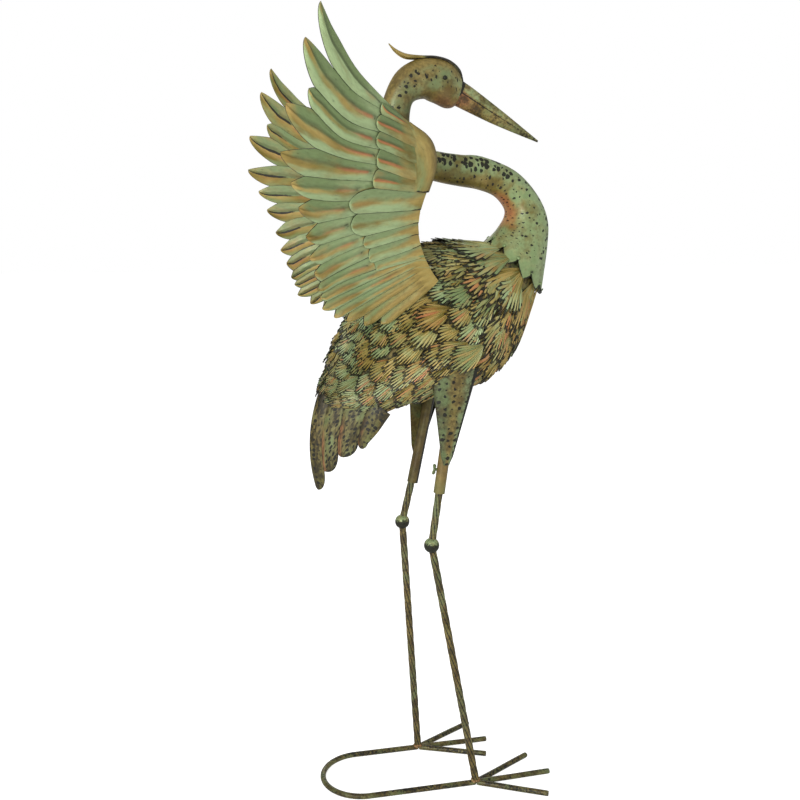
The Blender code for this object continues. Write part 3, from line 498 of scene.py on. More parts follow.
def wing_point(points, side):
    """From (back, up, out) in the wing's plane to metres; side -1 is the right wing."""
    back, up, out = np.moveaxis(np.asarray(points, float), -1, 0)
    to_back = np.array([-math.cos(WING_YAW), math.sin(WING_YAW), 0])
    to_up = np.array([math.sin(WING_LEAN) * math.sin(WING_YAW),
                      math.sin(WING_LEAN) * math.cos(WING_YAW), math.cos(WING_LEAN)])
    to_out = np.array([math.cos(WING_LEAN) * math.sin(WING_YAW),
                       math.cos(WING_LEAN) * math.cos(WING_YAW), -math.sin(WING_LEAN)])
    from_centre = np.hypot(back - SWELL_CENTRE[0], up - SWELL_CENTRE[1])
    lift = SWELL_HEIGHT * np.clip(1 - from_centre / SWELL_REACH, 0, None) ** 2
    spot = (WING_SHOULDER + back[..., None] * to_back + up[..., None] * to_up
            + (out + lift)[..., None] * to_out)
    spot[..., 1] *= side
    return placed(spot)


print("right shoulder in m:", wing_point([0, 0, 0], -1).round(3).tolist())

# %% Measured feathers
# tip, then the groove below it: notch, middle and inner end
FLIGHT = (
    ((219, 161), (189, 97), (155, 74), (61, 40)), ((231, 124), (209, 75), (157, 43), (56, 22)),
    ((216, 73), (209, 53), (160, 23), (52, 4)), ((242, 56), (193, 10), (150, 0), (48, -10)),
    ((239, 4), (202, -21), (150, -24), (43, -24)), ((219, -29), (187, -47), (148, -49), (39, -38)),
    ((203, -57), (172, -75), (140, -69), (35, -50)),
    ((186, -91), (163, -101), (130, -91), (31, -62)),
    ((176, -117), (158, -125), (126, -110), (28, -74)),
    ((165, -136), (154, -147), (120, -129), (26, -86)),
    ((156, -157), (147, -161), (112, -143), (34, -116)),
    ((150, -167), (140, -172), (100, -154), (30, -121)),
    ((144, -182), (124, -183), (75, -155), (25, -127)),
    ((124, -194), (104, -188), (61, -161), (19, -133)),
    ((105, -199), (82, -193), (48, -167), (14, -140)), ((77, -206), (55, -195), (31, -172), (8, -149)),
    ((53, -204), (38, -203), (21, -185), (-6, -150)),
)
FRONT_EDGE = ((219, 161), (201, 140), (150, 91), (66, 46))
# tip, then the groove below it: notch, inner end, and where it meets the inner edge
COVERT = (
    ((114, 66), (111, 53), (46, 34), (24, 26)), ((117, 46), (108, 34), (49, 18), (20, 14)),
    ((112, 26), (103, 14), (47, 0), (16, -2)), ((106, 4), (99, -9), (45, -20), (18, -16)),
    ((106, -23), (100, -32), (44, -34), (19, -32)), ((134, -52), (118, -63), (40, -57), (26, -56)),
    ((126, -78), (101, -89), (40, -74), (27, -72)), ((104, -100), (91, -104), (36, -88), (24.5, -86)),
    ((92, -119), (85, -122), (30, -103), (20, -99)), ((79, -132), (63, -128), (22, -116), (12, -114)),
)
COVERT_FRONT = ((114, 66), (98, 61), (63, 45), (40, 34))
COVERT_CENTRE = np.array([40.0, -30.0])


def past_coverts(back, up):
    """How far a point of the wing lies outside the line of the coverts' tips."""
    tips = np.array([row[0] for row in COVERT] + [(30, -121), (8, -149), (-20, -150)], float)
    off = tips - COVERT_CENTRE
    angles = np.unwrap(np.arctan2(off[:, 1], off[:, 0]))
    turn = np.arctan2(up - COVERT_CENTRE[1], back - COVERT_CENTRE[0])
    turn = np.where(turn > math.pi * 0.75, turn - 2 * math.pi, turn)
    limit = np.interp(-turn, -angles, np.hypot(off[:, 0], off[:, 1]))
    return np.hypot(back - COVERT_CENTRE[0], up - COVERT_CENTRE[1]) - limit


print("flight feathers:", len(FLIGHT), "coverts:", len(COVERT))

# %% Outline of one blade
ACROSS = np.array([-1, -0.93, -0.8, -0.62, -0.45, -0.3, -0.15, -0.05, 0, 0.05, 0.15, 0.3,
                   0.45, 0.62, 0.8, 0.93, 1.0])


def bowed(notch, tip, count, bow):
    """Edge of a feather's tip: from the notch out to the tip, bowed to one side."""
    share = 1 - (1 - np.linspace(0, 0.985, count)) ** 1.5
    chord = np.subtract(tip, notch)
    over = np.array([chord[1], -chord[0]])
    swell = bow * share ** 0.83 * (1 - share) ** 0.5
    return notch + share[:, None] * chord + swell[:, None] * over


def rounded(notch, tip, root, count):
    """Edge of a covert's tip: a quarter of an ellipse from the notch to the tip."""
    notch, tip, root = (np.asarray(p, float) for p in (notch, tip, root))
    axis = (tip - root) / np.linalg.norm(tip - root)
    centre = root + axis * np.dot(notch - root, axis)
    turn = np.linspace(0, math.radians(84), count)[:, None]
    return centre + (tip - centre) * np.sin(turn) + (notch - centre) * np.cos(turn)


def blade_grid(lower, upper, tuck, inner_rows):
    """Points between two edges; the upper edge runs on under the blade above."""
    rows = len(lower)
    free = ramp(inner_rows - 1, inner_rows - 4, np.arange(rows))[:, None]
    over = upper - lower
    wide = np.maximum(np.linalg.norm(over, axis=1, keepdims=True), 1e-6)
    upper = upper + over / wide * tuck * free
    share = (ACROSS[None, :, None] + 1) / 2
    return lower[:, None] * (1 - share) + upper[:, None] * share


def rib_shape(across, width):
    """Height of a feather across it, 1 on the rib: full below it, hollow above it."""
    below = 1 - np.abs(across) ** 2.0
    above = 0.75 * np.exp(-(across / 0.22) ** 2) + 0.25 * (1 - across)
    return np.where(across < 0, below, above) * np.clip(width / 12, 0.5, 1.0)


print("points across a blade:", len(ACROSS))

# %% Edges of the flight feathers
FLIGHT_RIB = 3.6
FLIGHT_TUCK = 2.6
# from this feather on, the roots reach the wing's inner edge
FIRST_AT_CORNER = 11
CORNER_EDGE = even_line([(13, -113), (2, -128), (-5, -136), (-11, -142)], 7)


def groove_line(i, to_edge, count):
    """The groove below feather i, from its inner end to its notch."""
    _tip, notch, middle, root = (np.array(p, float) for p in FLIGHT[i])
    if to_edge:
        return even_line([CORNER_EDGE[i - 10], root, middle, notch], count)
    kept = 0.55 if i < 10 else 1.0
    return even_line([middle + (root - middle) * kept, middle, notch], count)


def flight_edges(i, near, far):
    """Lower and upper edge of feather i: near points to its notch, then far to its tip."""
    tip, notch = (np.array(p, float) for p in FLIGHT[i][:2])
    to_edge = i >= FIRST_AT_CORNER
    lower = np.concatenate([groove_line(i, to_edge, near), bowed(notch, tip, far, 0.27)[1:]])
    if i:
        notch_above = np.array(FLIGHT[i - 1][1], float)
        upper = np.concatenate([groove_line(i - 1, to_edge, near),
                                bowed(notch_above, tip, far, -0.07)[1:]])
    else:
        front = [np.array(p, float) for p in FRONT_EDGE[::-1]]
        upper = np.concatenate([even_line(front[:3], near), even_line(front[2:], far)[1:]])
        upper[-1] = upper[-1] * 0.9 + upper[-2] * 0.1
    return lower, upper


print("points along a flight feather:", len(flight_edges(0, 18, 20)[0]))

# %% [markdown]
# The brush left mint along a feather's low edge and salmon near its rib, with olive
# towards the tip, and no two feathers are the same. Painting each by hand would take
# hours. These values follow the same habits, and a small random tone changes the
# share of mint from feather to feather. They also hold painted shade in the hollow
# above each rib and at the coverts' tips.

# %% Paint of a flight feather
rng = np.random.default_rng(7)
feather_tone = rng.uniform(-0.12, 0.12, len(FLIGHT))


def flight_paint(i, along, past, raised, nose):
    """Outer face; past is millimetres beyond the coverts, nose the spot at their edge."""
    every_row = np.ones((len(along), 1))
    low_half = ramp(0.04, -0.06, ACROSS)[None, :] * every_row
    low_edge = ramp(-0.2, -0.85, ACROSS)[None, :] * every_row
    tipward = ramp(0.55, 0.95, along)
    late = min(1.0, max(0.0, (i - 7) / 6))
    olive_tip = 0.85 if i in (3, 4, 5, 6, 7) else 0.55
    fresh = np.exp(-(past / 38) ** 2) * (past > -5)
    below_rib = np.exp(-((ACROSS + 0.2) / 0.3) ** 2)[None, :]
    on_rib = np.exp(-((ACROSS + 0.03) / 0.2) ** 2)[None, :]
    above_rib = np.exp(-((ACROSS - 0.16) / 0.16) ** 2)[None, :]
    root_gold = ramp(22, -8, past) * ramp(10, 13, i)
    first = 1.0 if i == 0 else 0.0
    salmon = ((1.0 if i < 5 else 0.6) * on_rib * ramp(3, 9, past) * ramp(85, 15, past)
              + 0.3 * tipward * low_half)
    narrowed = 0.37 * (i >= FIRST_AT_CORNER) * ramp(2, -7, past)
    return {
        "mint": np.clip(0.12 + 0.3 * low_half + 0.6 * low_edge + 0.45 * fresh
                        + 0.35 * first * low_half - 0.4 * tipward + 0.3 * late
                        + feather_tone[i], 0, 1),
        "ochre": np.clip(olive_tip * tipward + (0.75 - 0.5 * first) * below_rib * (1 - 0.5 * fresh)
                         + 0.15 * (i > 2) + 0.12 * late - 0.1 * first + 0.35 * (i > 13)
                         + 0.8 * root_gold, 0, 1),
        "blush": np.clip(salmon, 0, 1) * (0 if i > 12 else 1) * (0.3 if i == 0 else 1),
        # the umber in the hollow above the rib is painted shade, and so are the dark and umber at the
        # nose just past the coverts' tips and the dark under the coverts
        "dark": np.clip(0.5 * nose * (i < 11) + 0.2 * ramp(3, -6, past) * (i < 10), 0, 1),
        "shade": np.clip(0.34 * above_rib * raised + 0.3 * nose, 0, 1),
        "along": along, "across": ACROSS[None, :] * (1 + 0.07 * (i > 8) - narrowed),
        "seed": 0.37 * i if i < 11 else 5.0}


def flight_back_paint(along):
    """Inner face of a flight feather, plainer than the outer one."""
    every_row = np.ones((len(along), 1))
    low_half = ramp(0.04, -0.06, ACROSS)[None, :] * every_row
    low_edge = ramp(-0.2, -0.85, ACROSS)[None, :] * every_row
    below_rib = np.exp(-((ACROSS + 0.2) / 0.3) ** 2)[None, :]
    above_rib = np.exp(-((ACROSS - 0.2) / 0.2) ** 2)[None, :]
    return {
        "mint": np.clip(0.2 + 0.5 * low_edge * ramp(0.2, 0.6, along) + 0.2 * (1 - low_half), 0, 1),
        "ochre": np.clip(0.35 + 0.5 * low_half + 0.3 * ramp(0.55, 0.95, along)
                         - 0.3 * low_edge, 0, 1),
        "blush": np.clip(0.4 * below_rib * ramp(0.9, 0.5, along), 0, 1),
        "shade": np.clip(0.16 * (1 - low_half) + 0.25 * above_rib * (1 - low_half), 0, 1)}


print("tone of each flight feather:", feather_tone.round(2).tolist())

# %% Blade of a flight feather
def flight_blade(skin, i, side):
    near, far = 18, 20
    lower, upper = flight_edges(i, near, far)
    flat = blade_grid(lower, upper, FLIGHT_TUCK, near)
    along = np.linspace(0, 1, len(flat))[:, None]
    width = np.linalg.norm(upper - lower, axis=1)[:, None]
    past = past_coverts(flat[..., 0], flat[..., 1])
    raised = ramp(1, 10, past) * (1 - 0.55 * ramp(0.8, 1.0, along))
    height = (0.25 + 0.75 * ramp(0.0, -1.0, ACROSS)[None, :] * ramp(-6, 4, past)
              - 0.35 * ramp(0.6, 1.0, ACROSS)[None, :]
              + FLIGHT_RIB * raised * rib_shape(ACROSS[None, :], width))
    nose = np.exp(-((past - 5) / 5) ** 2) * np.exp(-(ACROSS[None, :] / 0.3) ** 2)
    sunk = 0.0 if i >= FIRST_AT_CORNER else 1.3
    height = height + 0.1 - sunk * ramp(-2, -26, past)
    outer = np.dstack([flat, height])
    inner = np.dstack([flat, height - SHEET])
    add_sheet(skin, wing_point(outer, side), wing_point(inner, side),
              flight_paint(i, along, past, raised, nose), flight_back_paint(along))


print("flight rib in mm:", FLIGHT_RIB)

# %% [markdown]
# The coverts are the short feathers over the roots of the long ones. On the pressed
# sheet they stand a step higher. The front ones are bold, with a salmon rib, and the
# ones below them are soft mounds. They are blades like the flight feathers, so that
# their round tips throw a real shadow on what lies under them.

# %% Paint of a covert
COVERT_STEP = 2.0
COVERT_RIB = 2.4
COVERT_TUCK = 1.8
# the coverts before this one are the bold ones at the front
FIRST_SOFT = 5


def covert_paint(i, along, grown):
    """Outer face of a covert; melt is where its root runs into the smooth shoulder."""
    front = i < FIRST_SOFT
    rim = ramp(0.9, 1.0, along) + 0 * ACROSS[None, :]
    streak = np.exp(-((ACROSS + 0.1) / (0.17 if front else 0.42)) ** 2)[None, :]
    above_rib = np.exp(-((ACROSS - 0.14) / 0.14) ** 2)[None, :]
    low_half = ramp(0.05, -0.15, ACROSS)[None, :] * np.ones((len(along), 1))
    melt = ramp(0.38, 0.27, along) * front
    ochre = ((0.9 if front else 0.5) * streak * ramp(1.0, 0.85, along)
             + 0.4 * ramp(0.45, 0.12, along) * front
             + 0.5 * ramp(0.2, 0.0, along) * (not front) + 0.1
             + 0.3 * low_half * (1 - rim) * front)
    salmon = (0.95 if front else 0.22) * streak * ramp(0.97, 0.82, along) * ramp(0.1, 0.4, along)
    # the umber above the rib of the bold coverts is painted shade in the hollow there; the upper half
    # takes a little umber as well
    shade = 0.3 * above_rib * grown * front + 0.12 * (1 - low_half)
    return {
        "mint": np.clip(0.22 + 0.5 * low_half + 0.7 * rim + 0.3 * (not front), 0, 1),
        "ochre": np.clip(ochre, 0, 1) * (1 - melt) + 0.62 * melt,
        "blush": (1 - 0.8 * melt) * np.clip(salmon, 0, 1),
        "shade": (1 - melt) * np.clip(shade, 0, 1) + 0.12 * melt,
        "dark": np.clip(0.85 * ramp(0.16, 0.03, along) * ramp(0.72, 1.0, np.abs(ACROSS))[None, :]
                        * (not front), 0, 1),
        "along": along, "across": ACROSS[None, :] * (1 - 0.3 * ramp(0.8, 1.0, melt)),
        "seed": 6.0 + 1.3 * i}


print("bold coverts:", FIRST_SOFT, "soft ones:", len(COVERT) - FIRST_SOFT)

# %% Blade of a covert
def covert_blade(skin, i, side):
    tip, notch, groove, edge = (np.array(p, float) for p in COVERT[i])
    near, far = 16, 14
    upper_knots = COVERT[i - 1][1:] if i else COVERT_FRONT[1:]
    notch_up, groove_up, edge_up = (np.array(p, float) for p in upper_knots)
    root = (edge + edge_up) / 2
    lower = np.concatenate([even_line([edge, groove, notch], near),
                            rounded(notch, tip, root, far)[1:]])
    upper = np.concatenate([even_line([edge_up, groove_up, notch_up], near),
                            rounded(notch_up, tip, root, far)[1:]])
    flat = blade_grid(lower, upper, COVERT_TUCK if i else 0.0, near)
    along = np.linspace(0, 1, len(flat))[:, None]
    width = np.linalg.norm(upper - lower, axis=1)[:, None]
    front = i < FIRST_SOFT
    grown = ramp(0.08, 0.4, along) * (1 - 0.6 * ramp(0.86, 1.0, along))
    rib = COVERT_RIB * (1.15 if front else 0.6)
    step = COVERT_STEP if i < 8 else COVERT_STEP * 0.8
    height = (step * ramp(-0.05, 0.3, along) + 0.5 * ramp(0, -1, ACROSS)[None, :]
              - 0.45 * ramp(0.6, 1.0, ACROSS)[None, :]
              + rib * grown * rib_shape(ACROSS[None, :], width))
    height = height - (0.0 if front else 0.5 * (1 - along))
    outer = np.dstack([flat, height])
    inner = np.dstack([flat, height - SHEET])
    add_sheet(skin, wing_point(outer, side), wing_point(inner, side),
              covert_paint(i, along, grown))


print("covert step and rib in mm:", COVERT_STEP, COVERT_RIB)

# %% [markdown]
# Where the wing meets the shoulder the sheet is smooth and swells out. A cut piece
# of a sphere would be rounder than the real pressing. Three measured lines give the
# bulge: the sheet's edge, its crest, and the rim that sinks under the coverts.

# %% Smooth shoulder boss
BOSS = {"edge": ((66, 47.5, 1), (48, 39.5, 1), (36, 34.5, 0), (25, 28, -2), (17, 21, -4),
                 (11, 11.5, -5), (8, 3, -6), (7.5, -6, -6), (10, -18, -4), (17, -33, 0)),
        "crest": ((67, 46.5, 2), (46, 35, 5), (33, 22, 7.4), (26, 6, 8.4), (23, -8, 8),
                  (24, -20, 6.6), (25, -34, 4)),
        "rim": ((70, 46, 0.2), (66, 31, 0.2), (60, 18, 0.2), (56, 2, 0.2), (52, -13, 0.2),
                (48, -25, 0.3), (46, -34, 0.4))}


def boss_sheet(skin, side):
    """A smooth bulge over three lines: the sheet's edge, its crest and its sunken rim."""
    rows = 26
    edge, crest, rim = (even_line(BOSS[key], rows)[:, None] for key in ("edge", "crest", "rim"))
    share = np.linspace(0, 1, 12)[None, :, None]
    grid = edge * (1 - share) * (1 - 2 * share) + 4 * crest * share * (1 - share)
    grid = grid + rim * share * (2 * share - 1)
    to_rim = share[..., 0]
    beyond = ramp(0.5, 1.0, to_rim)
    grid[..., 2] = np.where(to_rim > 0.5, crest[..., 2] * (1 - beyond) + rim[..., 2] * beyond,
                            grid[..., 2])
    low_end = ramp(0.955, 1.0, np.linspace(0, 1, rows))[:, None]
    paler = ramp(0.45, 0.9, to_rim)
    add_sheet(skin, wing_point(grid, side), wing_point(grid - np.array([0, 0, SHEET]), side), {
        "mint": np.clip(0.2 + 0.4 * paler, 0, 1), "ochre": np.clip(0.9 - 0.3 * paler, 0, 1),
        "shade": 0.5 * ramp(0.8, 0.0, to_rim) + 0.12, "dark": 0.9 * low_end * np.ones_like(to_rim),
        "along": to_rim, "across": 0.5, "seed": 5.0})


print("highest point of the boss in mm:", max(point[2] for point in BOSS["crest"]))

# %% Both wings
# the tongue that runs into the body: back from and to, then out from and to
TONGUE_BACK = (-2.0, 22.0)
TONGUE_OUT = (-36.0, 0.6)
TONGUE_UP = -126.0

for side_name, side in (("right", -1), ("left", 1)):
    wing = Skin()
    for i in range(len(FLIGHT)):
        flight_blade(wing, i, side)
    for i in range(len(COVERT)):
        covert_blade(wing, i, side)
    boss_sheet(wing, side)
    tongue = np.array([[(back, TONGUE_UP, out_way) for back in TONGUE_BACK]
                       for out_way in TONGUE_OUT])
    add_sheet(wing, wing_point(tongue, side), wing_point(tongue - np.array([0, SHEET, 0]), side),
              {"mint": 0.4, "ochre": 0.5, "seed": 3.0})
    wing.piece("feathered_wing_" + side_name, wing_paint,
               ["wing_" + side_name])

# %% [markdown]
# The body is dressed in stamped tufts. Each tuft is a fan of narrow fingers cut
# with slits, bent up a little, and welded over the next row like roof tiles. Hair
# or displacement would give soft fuzz, so every finger is a small folded strip.

# %% Shape of the body under the tufts
BODY_SECTIONS = (
    (128, 766, 192, 706, 34), (86, 765, 179, 677, 52), (44, 762, 156, 628, 65),
    (8, 750, 118, 586, 71), (-24, 726, 67, 570, 72), (-51, 693, 18, 558, 68),
    (-73, 653, -27, 547, 59), (-91, 616, -61, 545, 47), (-101, 588, -87, 553, 30))


def ring_point(section, angle, lift, fullness):
    """A point round a cross section; angle 0 is its front, a quarter turn its left."""
    back, front = section[..., 0:2], section[..., 2:4]
    half = (front - back) / 2
    length = np.linalg.norm(half, axis=-1)
    power = 2.0 / fullness
    along = np.sign(np.cos(angle)) * np.abs(np.cos(angle)) ** power
    over = np.sign(np.sin(angle)) * np.abs(np.sin(angle)) ** power
    reach = half * ((1 + lift / length) * along)[..., None]
    middle = (back + front) / 2 + reach
    return np.stack([middle[..., 0], (section[..., 4] + lift) * over, middle[..., 1]], -1)


def body_point(run, angle, lift):
    """A point of the body; run goes from the neck (0) to the rear (1) and past it."""
    at = ring_point(smooth_rows(BODY_SECTIONS, run), angle, lift, 2.25)
    rear = ring_point(smooth_rows(BODY_SECTIONS, np.full_like(run, 1.0)), angle, lift, 2.25)
    before = ring_point(smooth_rows(BODY_SECTIONS, np.full_like(run, 0.96)), angle, lift, 2.25)
    return at + (rear - before) / 0.04 * np.clip(run - 1, 0, None)[..., None] * 0.8


print("measured sections of the body:", len(BODY_SECTIONS))

# %% Dark core under the tufts
CORE_RINGS = 40
CORE_COLUMNS = 64

core = Skin()
runs = np.linspace(0, 1, CORE_RINGS)[:, None] * np.ones((1, CORE_COLUMNS))
turns = np.linspace(0, 2 * math.pi, CORE_COLUMNS + 1)[None, :-1] * np.ones((CORE_RINGS, 1))
add_tube(core, placed(body_point(runs, turns, np.full_like(runs, -0.8))),
         {"dark": 0.46, "shade": 0.5, "along": 0.0, "across": 1.0, "mint": 0.4, "ochre": 0.6})
print("faces of the core:", len(core.faces))

# %% A fan of slit fingers
# lengths are millimetres
TUFT_LENGTH = 55.0
FINGERS = 11
FINGER_POINTS = 7
FAN_SPREAD = math.radians(34)
# four corners of a folded finger: share of its half width, and rise above the sheet
FOLD = ((-1.0, 0.0), (0.15, 1.5), (1.0, 0.0), (0.0, -0.35))


def tuft_fan(skin, run, angle, tone, random, over=0.0):
    """One stamped fan: folded fingers that spread from its root; over lifts it higher."""
    here = body_point(np.array([run, run + 0.02, run]), np.array([angle, angle, angle + 0.04]),
                      np.zeros(3))
    per_run = np.linalg.norm(here[1] - here[0]) / 0.02
    per_turn = np.linalg.norm(here[2] - here[0]) / 0.04
    size = TUFT_LENGTH * random.uniform(0.88, 1.1) * (1 + 0.2 * float(ramp(0.72, 0.9, run)))
    raise_tip = random.uniform(4.2, 7.4) + random.uniform(0, 7) * max(0.0, -math.cos(angle)) ** 2
    swing = random.normal(0, 0.1)
    side_down = -0.18 * math.sin(angle * 2)
    middle_finger = (FINGERS - 1) / 2
    for finger in range(FINGERS):
        spread = (finger - middle_finger) / middle_finger
        length = size * (1 - 0.3 * abs(spread) ** 1.6) * random.uniform(0.92, 1.05)
        t = np.linspace(0.0, 1.0, FINGER_POINTS)
        reach = 3 + (length - 3) * t
        turn = spread * FAN_SPREAD * (0.82 + 0.18 * (1 - t)) + swing + side_down
        room = reach * FAN_SPREAD / middle_finger
        half = (np.minimum(room * 0.56, 3.1 - 1.4 * ramp(0.66, 0.86, t))
                * (1 - 0.4 * ramp(0.84, 1.0, t)))
        hot = 0.5 if random.random() < tone["streaks"] else 0.0
        lift = (0.7 + over + raise_tip * t ** 1.2 - 1.6 * spread * spread * t
                + random.uniform(-0.7, 0.7) * t)
        corners = []
        for off, rise in FOLD:
            a = reach * np.cos(turn) - off * half * np.sin(turn)
            b = reach * np.sin(turn) + off * half * np.cos(turn)
            corners.append(body_point(run + a / per_run, angle + b / per_turn,
                                      lift + rise * np.minimum(1, 0.4 + t * 2)))
        add_tube(skin, placed(np.stack(corners, 1)), {
            "along": t[:, None], "across": np.array([0.0, 1.0, 0.0, 0.1])[None, :],
            "seed": tone["seed"] + 0.05 * finger, "mint": tone["mint"], "ochre": tone["ochre"],
            "blush": np.clip(tone["blush"] + hot, 0, 1) * ramp(0.1, 0.5, t)[:, None],
            # the umber near each finger's root is painted shade under the row before it; the tone adds
            # a darker rear
            "shade": 0.1 * (1 - t)[:, None] + tone["shade"]})


print("fingers in a fan:", FINGERS)

# %% Tones of the fans
def fan_tone(run, angle, random):
    """Painted values of one fan: greener on top, more tan and salmon below, darker behind.
    belly is 1 along the breast and belly, and -1 along the back."""
    belly = math.cos(angle)
    return {"seed": random.uniform(0, 8),
            "mint": float(np.clip(random.normal(0.6 - 0.1 * belly, 0.25), 0, 1)),
            "ochre": float(np.clip(random.normal(0.6 + 0.12 * belly, 0.22), 0, 1)),
            "blush": float(np.clip(random.normal(0.08 + 0.12 * belly, 0.16), 0, 0.45)),
            "streaks": 0.08 + 0.1 * max(belly, 0), "shade": 0.3 * float(ramp(0.5, 0.85, run))}


trial_tone = fan_tone(0.5, 0.0, np.random.default_rng(0))
print("a trial fan:", {key: round(value, 2) for key, value in trial_tone.items()})

# %% Rows of fans round the body
TUFT_ROWS = 14
FAN_WIDTH = 19.5
# single fans that hang over the thighs and at the rear: run, angle and extra lift
THIGH_FANS = ((0.35, 1.2, 7.5), (0.39, 1.34, 7.5), (0.43, 1.38, 7.5))
LOW_FANS = ((0.85, 0.3, 3.0), (0.89, 0.65, 3.0), (0.88, 1.0, 2.0))

random = np.random.default_rng(21)
fans = 0
for row in range(TUFT_ROWS):
    run = 0.005 + 0.93 * row / (TUFT_ROWS - 1)
    section = smooth_rows(BODY_SECTIONS, run)
    half_depth = np.linalg.norm(section[0:2] - section[2:4]) / 2
    half_width = section[4]
    around = math.pi * (1.5 * (half_depth + half_width) - math.sqrt(half_depth * half_width))
    count = max(8, int(round(around / FAN_WIDTH)))
    for k in range(count):
        angle = 2 * math.pi * (k + 0.5 * (row % 2)) / count + random.normal(0, 0.03)
        tuft_fan(core, run + random.normal(0, 0.004), angle, fan_tone(run, angle, random), random)
        fans += 1
for side in (-1, 1):
    for run, angle, over in THIGH_FANS + LOW_FANS:
        tuft_fan(core, run, side * angle, fan_tone(run, angle, random), random, over)
        fans += 1
core.piece("tufted_body", tuft_paint, ["body"], crease=50.0)
print("fans:", fans)

# %% [markdown]
# Neck and head are one bent tube of sheet whose lower edge is cut into collar points.
# A skin modifier over a bent line would make a neck quickly, but it wouldn't follow
# the photograph's outline. A loft through measured cross sections does. Its painted
# values follow the brush: a tan rim along the back of the head, mint on the chest,
# salmon at the throat, and rows of dabs along the sides. Painted shade darkens the
# underside of the lower neck.

# %% Loft of the neck and head
NECK_SECTIONS = (
    (125, 773, 198, 699, 41), (137, 786, 206, 764, 35), (146, 801, 205, 799, 30),
    (145, 813, 189, 832, 25), (130, 828.5, 158, 862, 22.5), (106, 837, 112, 880, 21),
    (80, 841, 83, 882, 19.5), (50, 846.5, 51, 886, 18.5), (20, 855, 35, 892, 18),
    (-5, 873, 22.5, 902, 17.5), (-21, 900, 14, 914, 17), (-26, 928, 12.5, 930, 17),
    (-19.5, 958, 17, 947, 17.5), (-4.5, 985, 31, 952, 19), (19, 1000.3, 40, 949, 20.5),
    (44, 1004, 47, 946.5, 21.5), (65, 998.5, 61, 941, 21), (77.5, 987.5, 72, 943, 16),
    (83.5, 975, 80, 953, 9))
NECK_ROWS = 150
NECK_COLUMNS = 96

neck = Skin()
run = np.linspace(0, 1, NECK_ROWS)[:, None] * np.ones((1, NECK_COLUMNS))
turn = np.linspace(0, 2 * math.pi, NECK_COLUMNS + 1)[None, :-1] * np.ones((NECK_ROWS, 1))
loft = ring_point(smooth_rows(NECK_SECTIONS, run), turn, np.zeros_like(run), 2.0)
print("points of the loft:", loft.shape[0] * loft.shape[1])

# %% Collar points under the loft
COLLAR_POINTS = 12
COLLAR_LENGTH = 16.0
FLAP_ROWS = 9

saw = np.abs(((turn[0] * COLLAR_POINTS / (2 * math.pi)) % 1.0) - 0.5) * 2
downward = (loft[0] - loft[6])
downward = downward / np.linalg.norm(downward, axis=1, keepdims=True)
outward = loft[0] - loft[0].mean(0)
outward = outward / np.linalg.norm(outward, axis=1, keepdims=True)
flap_share = np.linspace(1, 0, FLAP_ROWS)[:-1, None]
flap_run = flap_share * (2.0 + COLLAR_LENGTH * saw[None, :] ** 0.8)
flap_run = flap_run * (1 - 0.85 * ramp(0.3, 0.85, np.cos(turn[0])))[None, :]
flaps = loft[0][None] + downward[None] * flap_run[..., None] + outward[None] * (
    1.6 * flap_share[..., None] ** 2)
outer = np.concatenate([flaps, loft])
rows = len(outer)
print("neck rings:", rows)

# %% Where the colours of the neck begin and end
# from_rim is millimetres above the collar's lower edge
from_rim = np.concatenate([flap_run[:1] - flap_run, flap_run[:1] + run * 500])
place = np.concatenate([-flap_share * np.ones((1, NECK_COLUMNS)) * 0.04, run])
around = np.concatenate([turn[:FLAP_ROWS - 1], turn])
front = np.cos(around)
round_eye = np.exp(-((place - 0.86) / 0.022) ** 2 - ((front + 0.12) / 0.3) ** 2)
chest = ramp(0.2, 0.9, front) * ramp(0.27, 0.2, place)
inner_bend = ramp(-0.3, -0.95, front) * ramp(0.03, 0.1, place) * ramp(0.28, 0.2, place)
lower_neck = ramp(0.2, 0.26, place) * ramp(0.56, 0.5, place)
top_lower = lower_neck * ramp(-0.1, 0.5, front)
head = ramp(0.54, 0.62, place)
rear_rim = head * ramp(-0.45, -0.9, front) * ramp(0.95, 0.8, place)
throat = head * ramp(0.35, 0.85, front)
face = head * ramp(0.88, 0.97, place)
print("share of the skin that is head:", round(float(head.mean()), 2))

# %% Paint of the neck and head
paint = {
    "mint": np.clip(0.5 + 0.5 * chest + 0.25 * top_lower + 0.1 * head - 0.3 * rear_rim
                    - 0.4 * throat + 0.5 * face, 0, 1),
    "ochre": np.clip(0.38 + 0.4 * inner_bend + 0.45 * lower_neck * ramp(0.2, -0.5, front)
                     + 0.75 * rear_rim + 0.6 * throat * ramp(0.7, 0.8, place) - 0.4 * chest
                     + 0.2 * head, 0, 1),
    "blush": np.clip(0.75 * inner_bend + 0.5 * throat * ramp(0.74, 0.84, place) + 0.1 * head, 0, 1),
    "dark": np.clip(0.95 * ramp(2.8, 1.4, from_rim) + 0.9 * ramp(0.972, 0.984, place), 0, 1),
    "dabs": np.clip(0.78 * head * ramp(-0.85, -0.5, front) * ramp(0.5, 0.0, front)
                    * ramp(0.99, 0.9, place)
                    + 1.2 * top_lower + 0.85 * chest + 0.6 * lower_neck
                    + 0.6 * ramp(0.28, 0.2, place) * (1 - chest), 0, 1.2)
    * ramp(0.0, 0.03, place) * (1 - round_eye),
    # the umber on the lower neck's underside is painted shade; the head and throat take more umber as
    # tone, the face and chest less
    "shade": np.clip(0.25 * lower_neck * ramp(0.2, -0.4, front) + 0.12 * throat + 0.34 * head
                     - 0.14 * face - 0.3 * chest, 0, 1),
    "along": place, "across": 0.0, "seed": 2.0}
print("painted values of the neck:", len(paint))

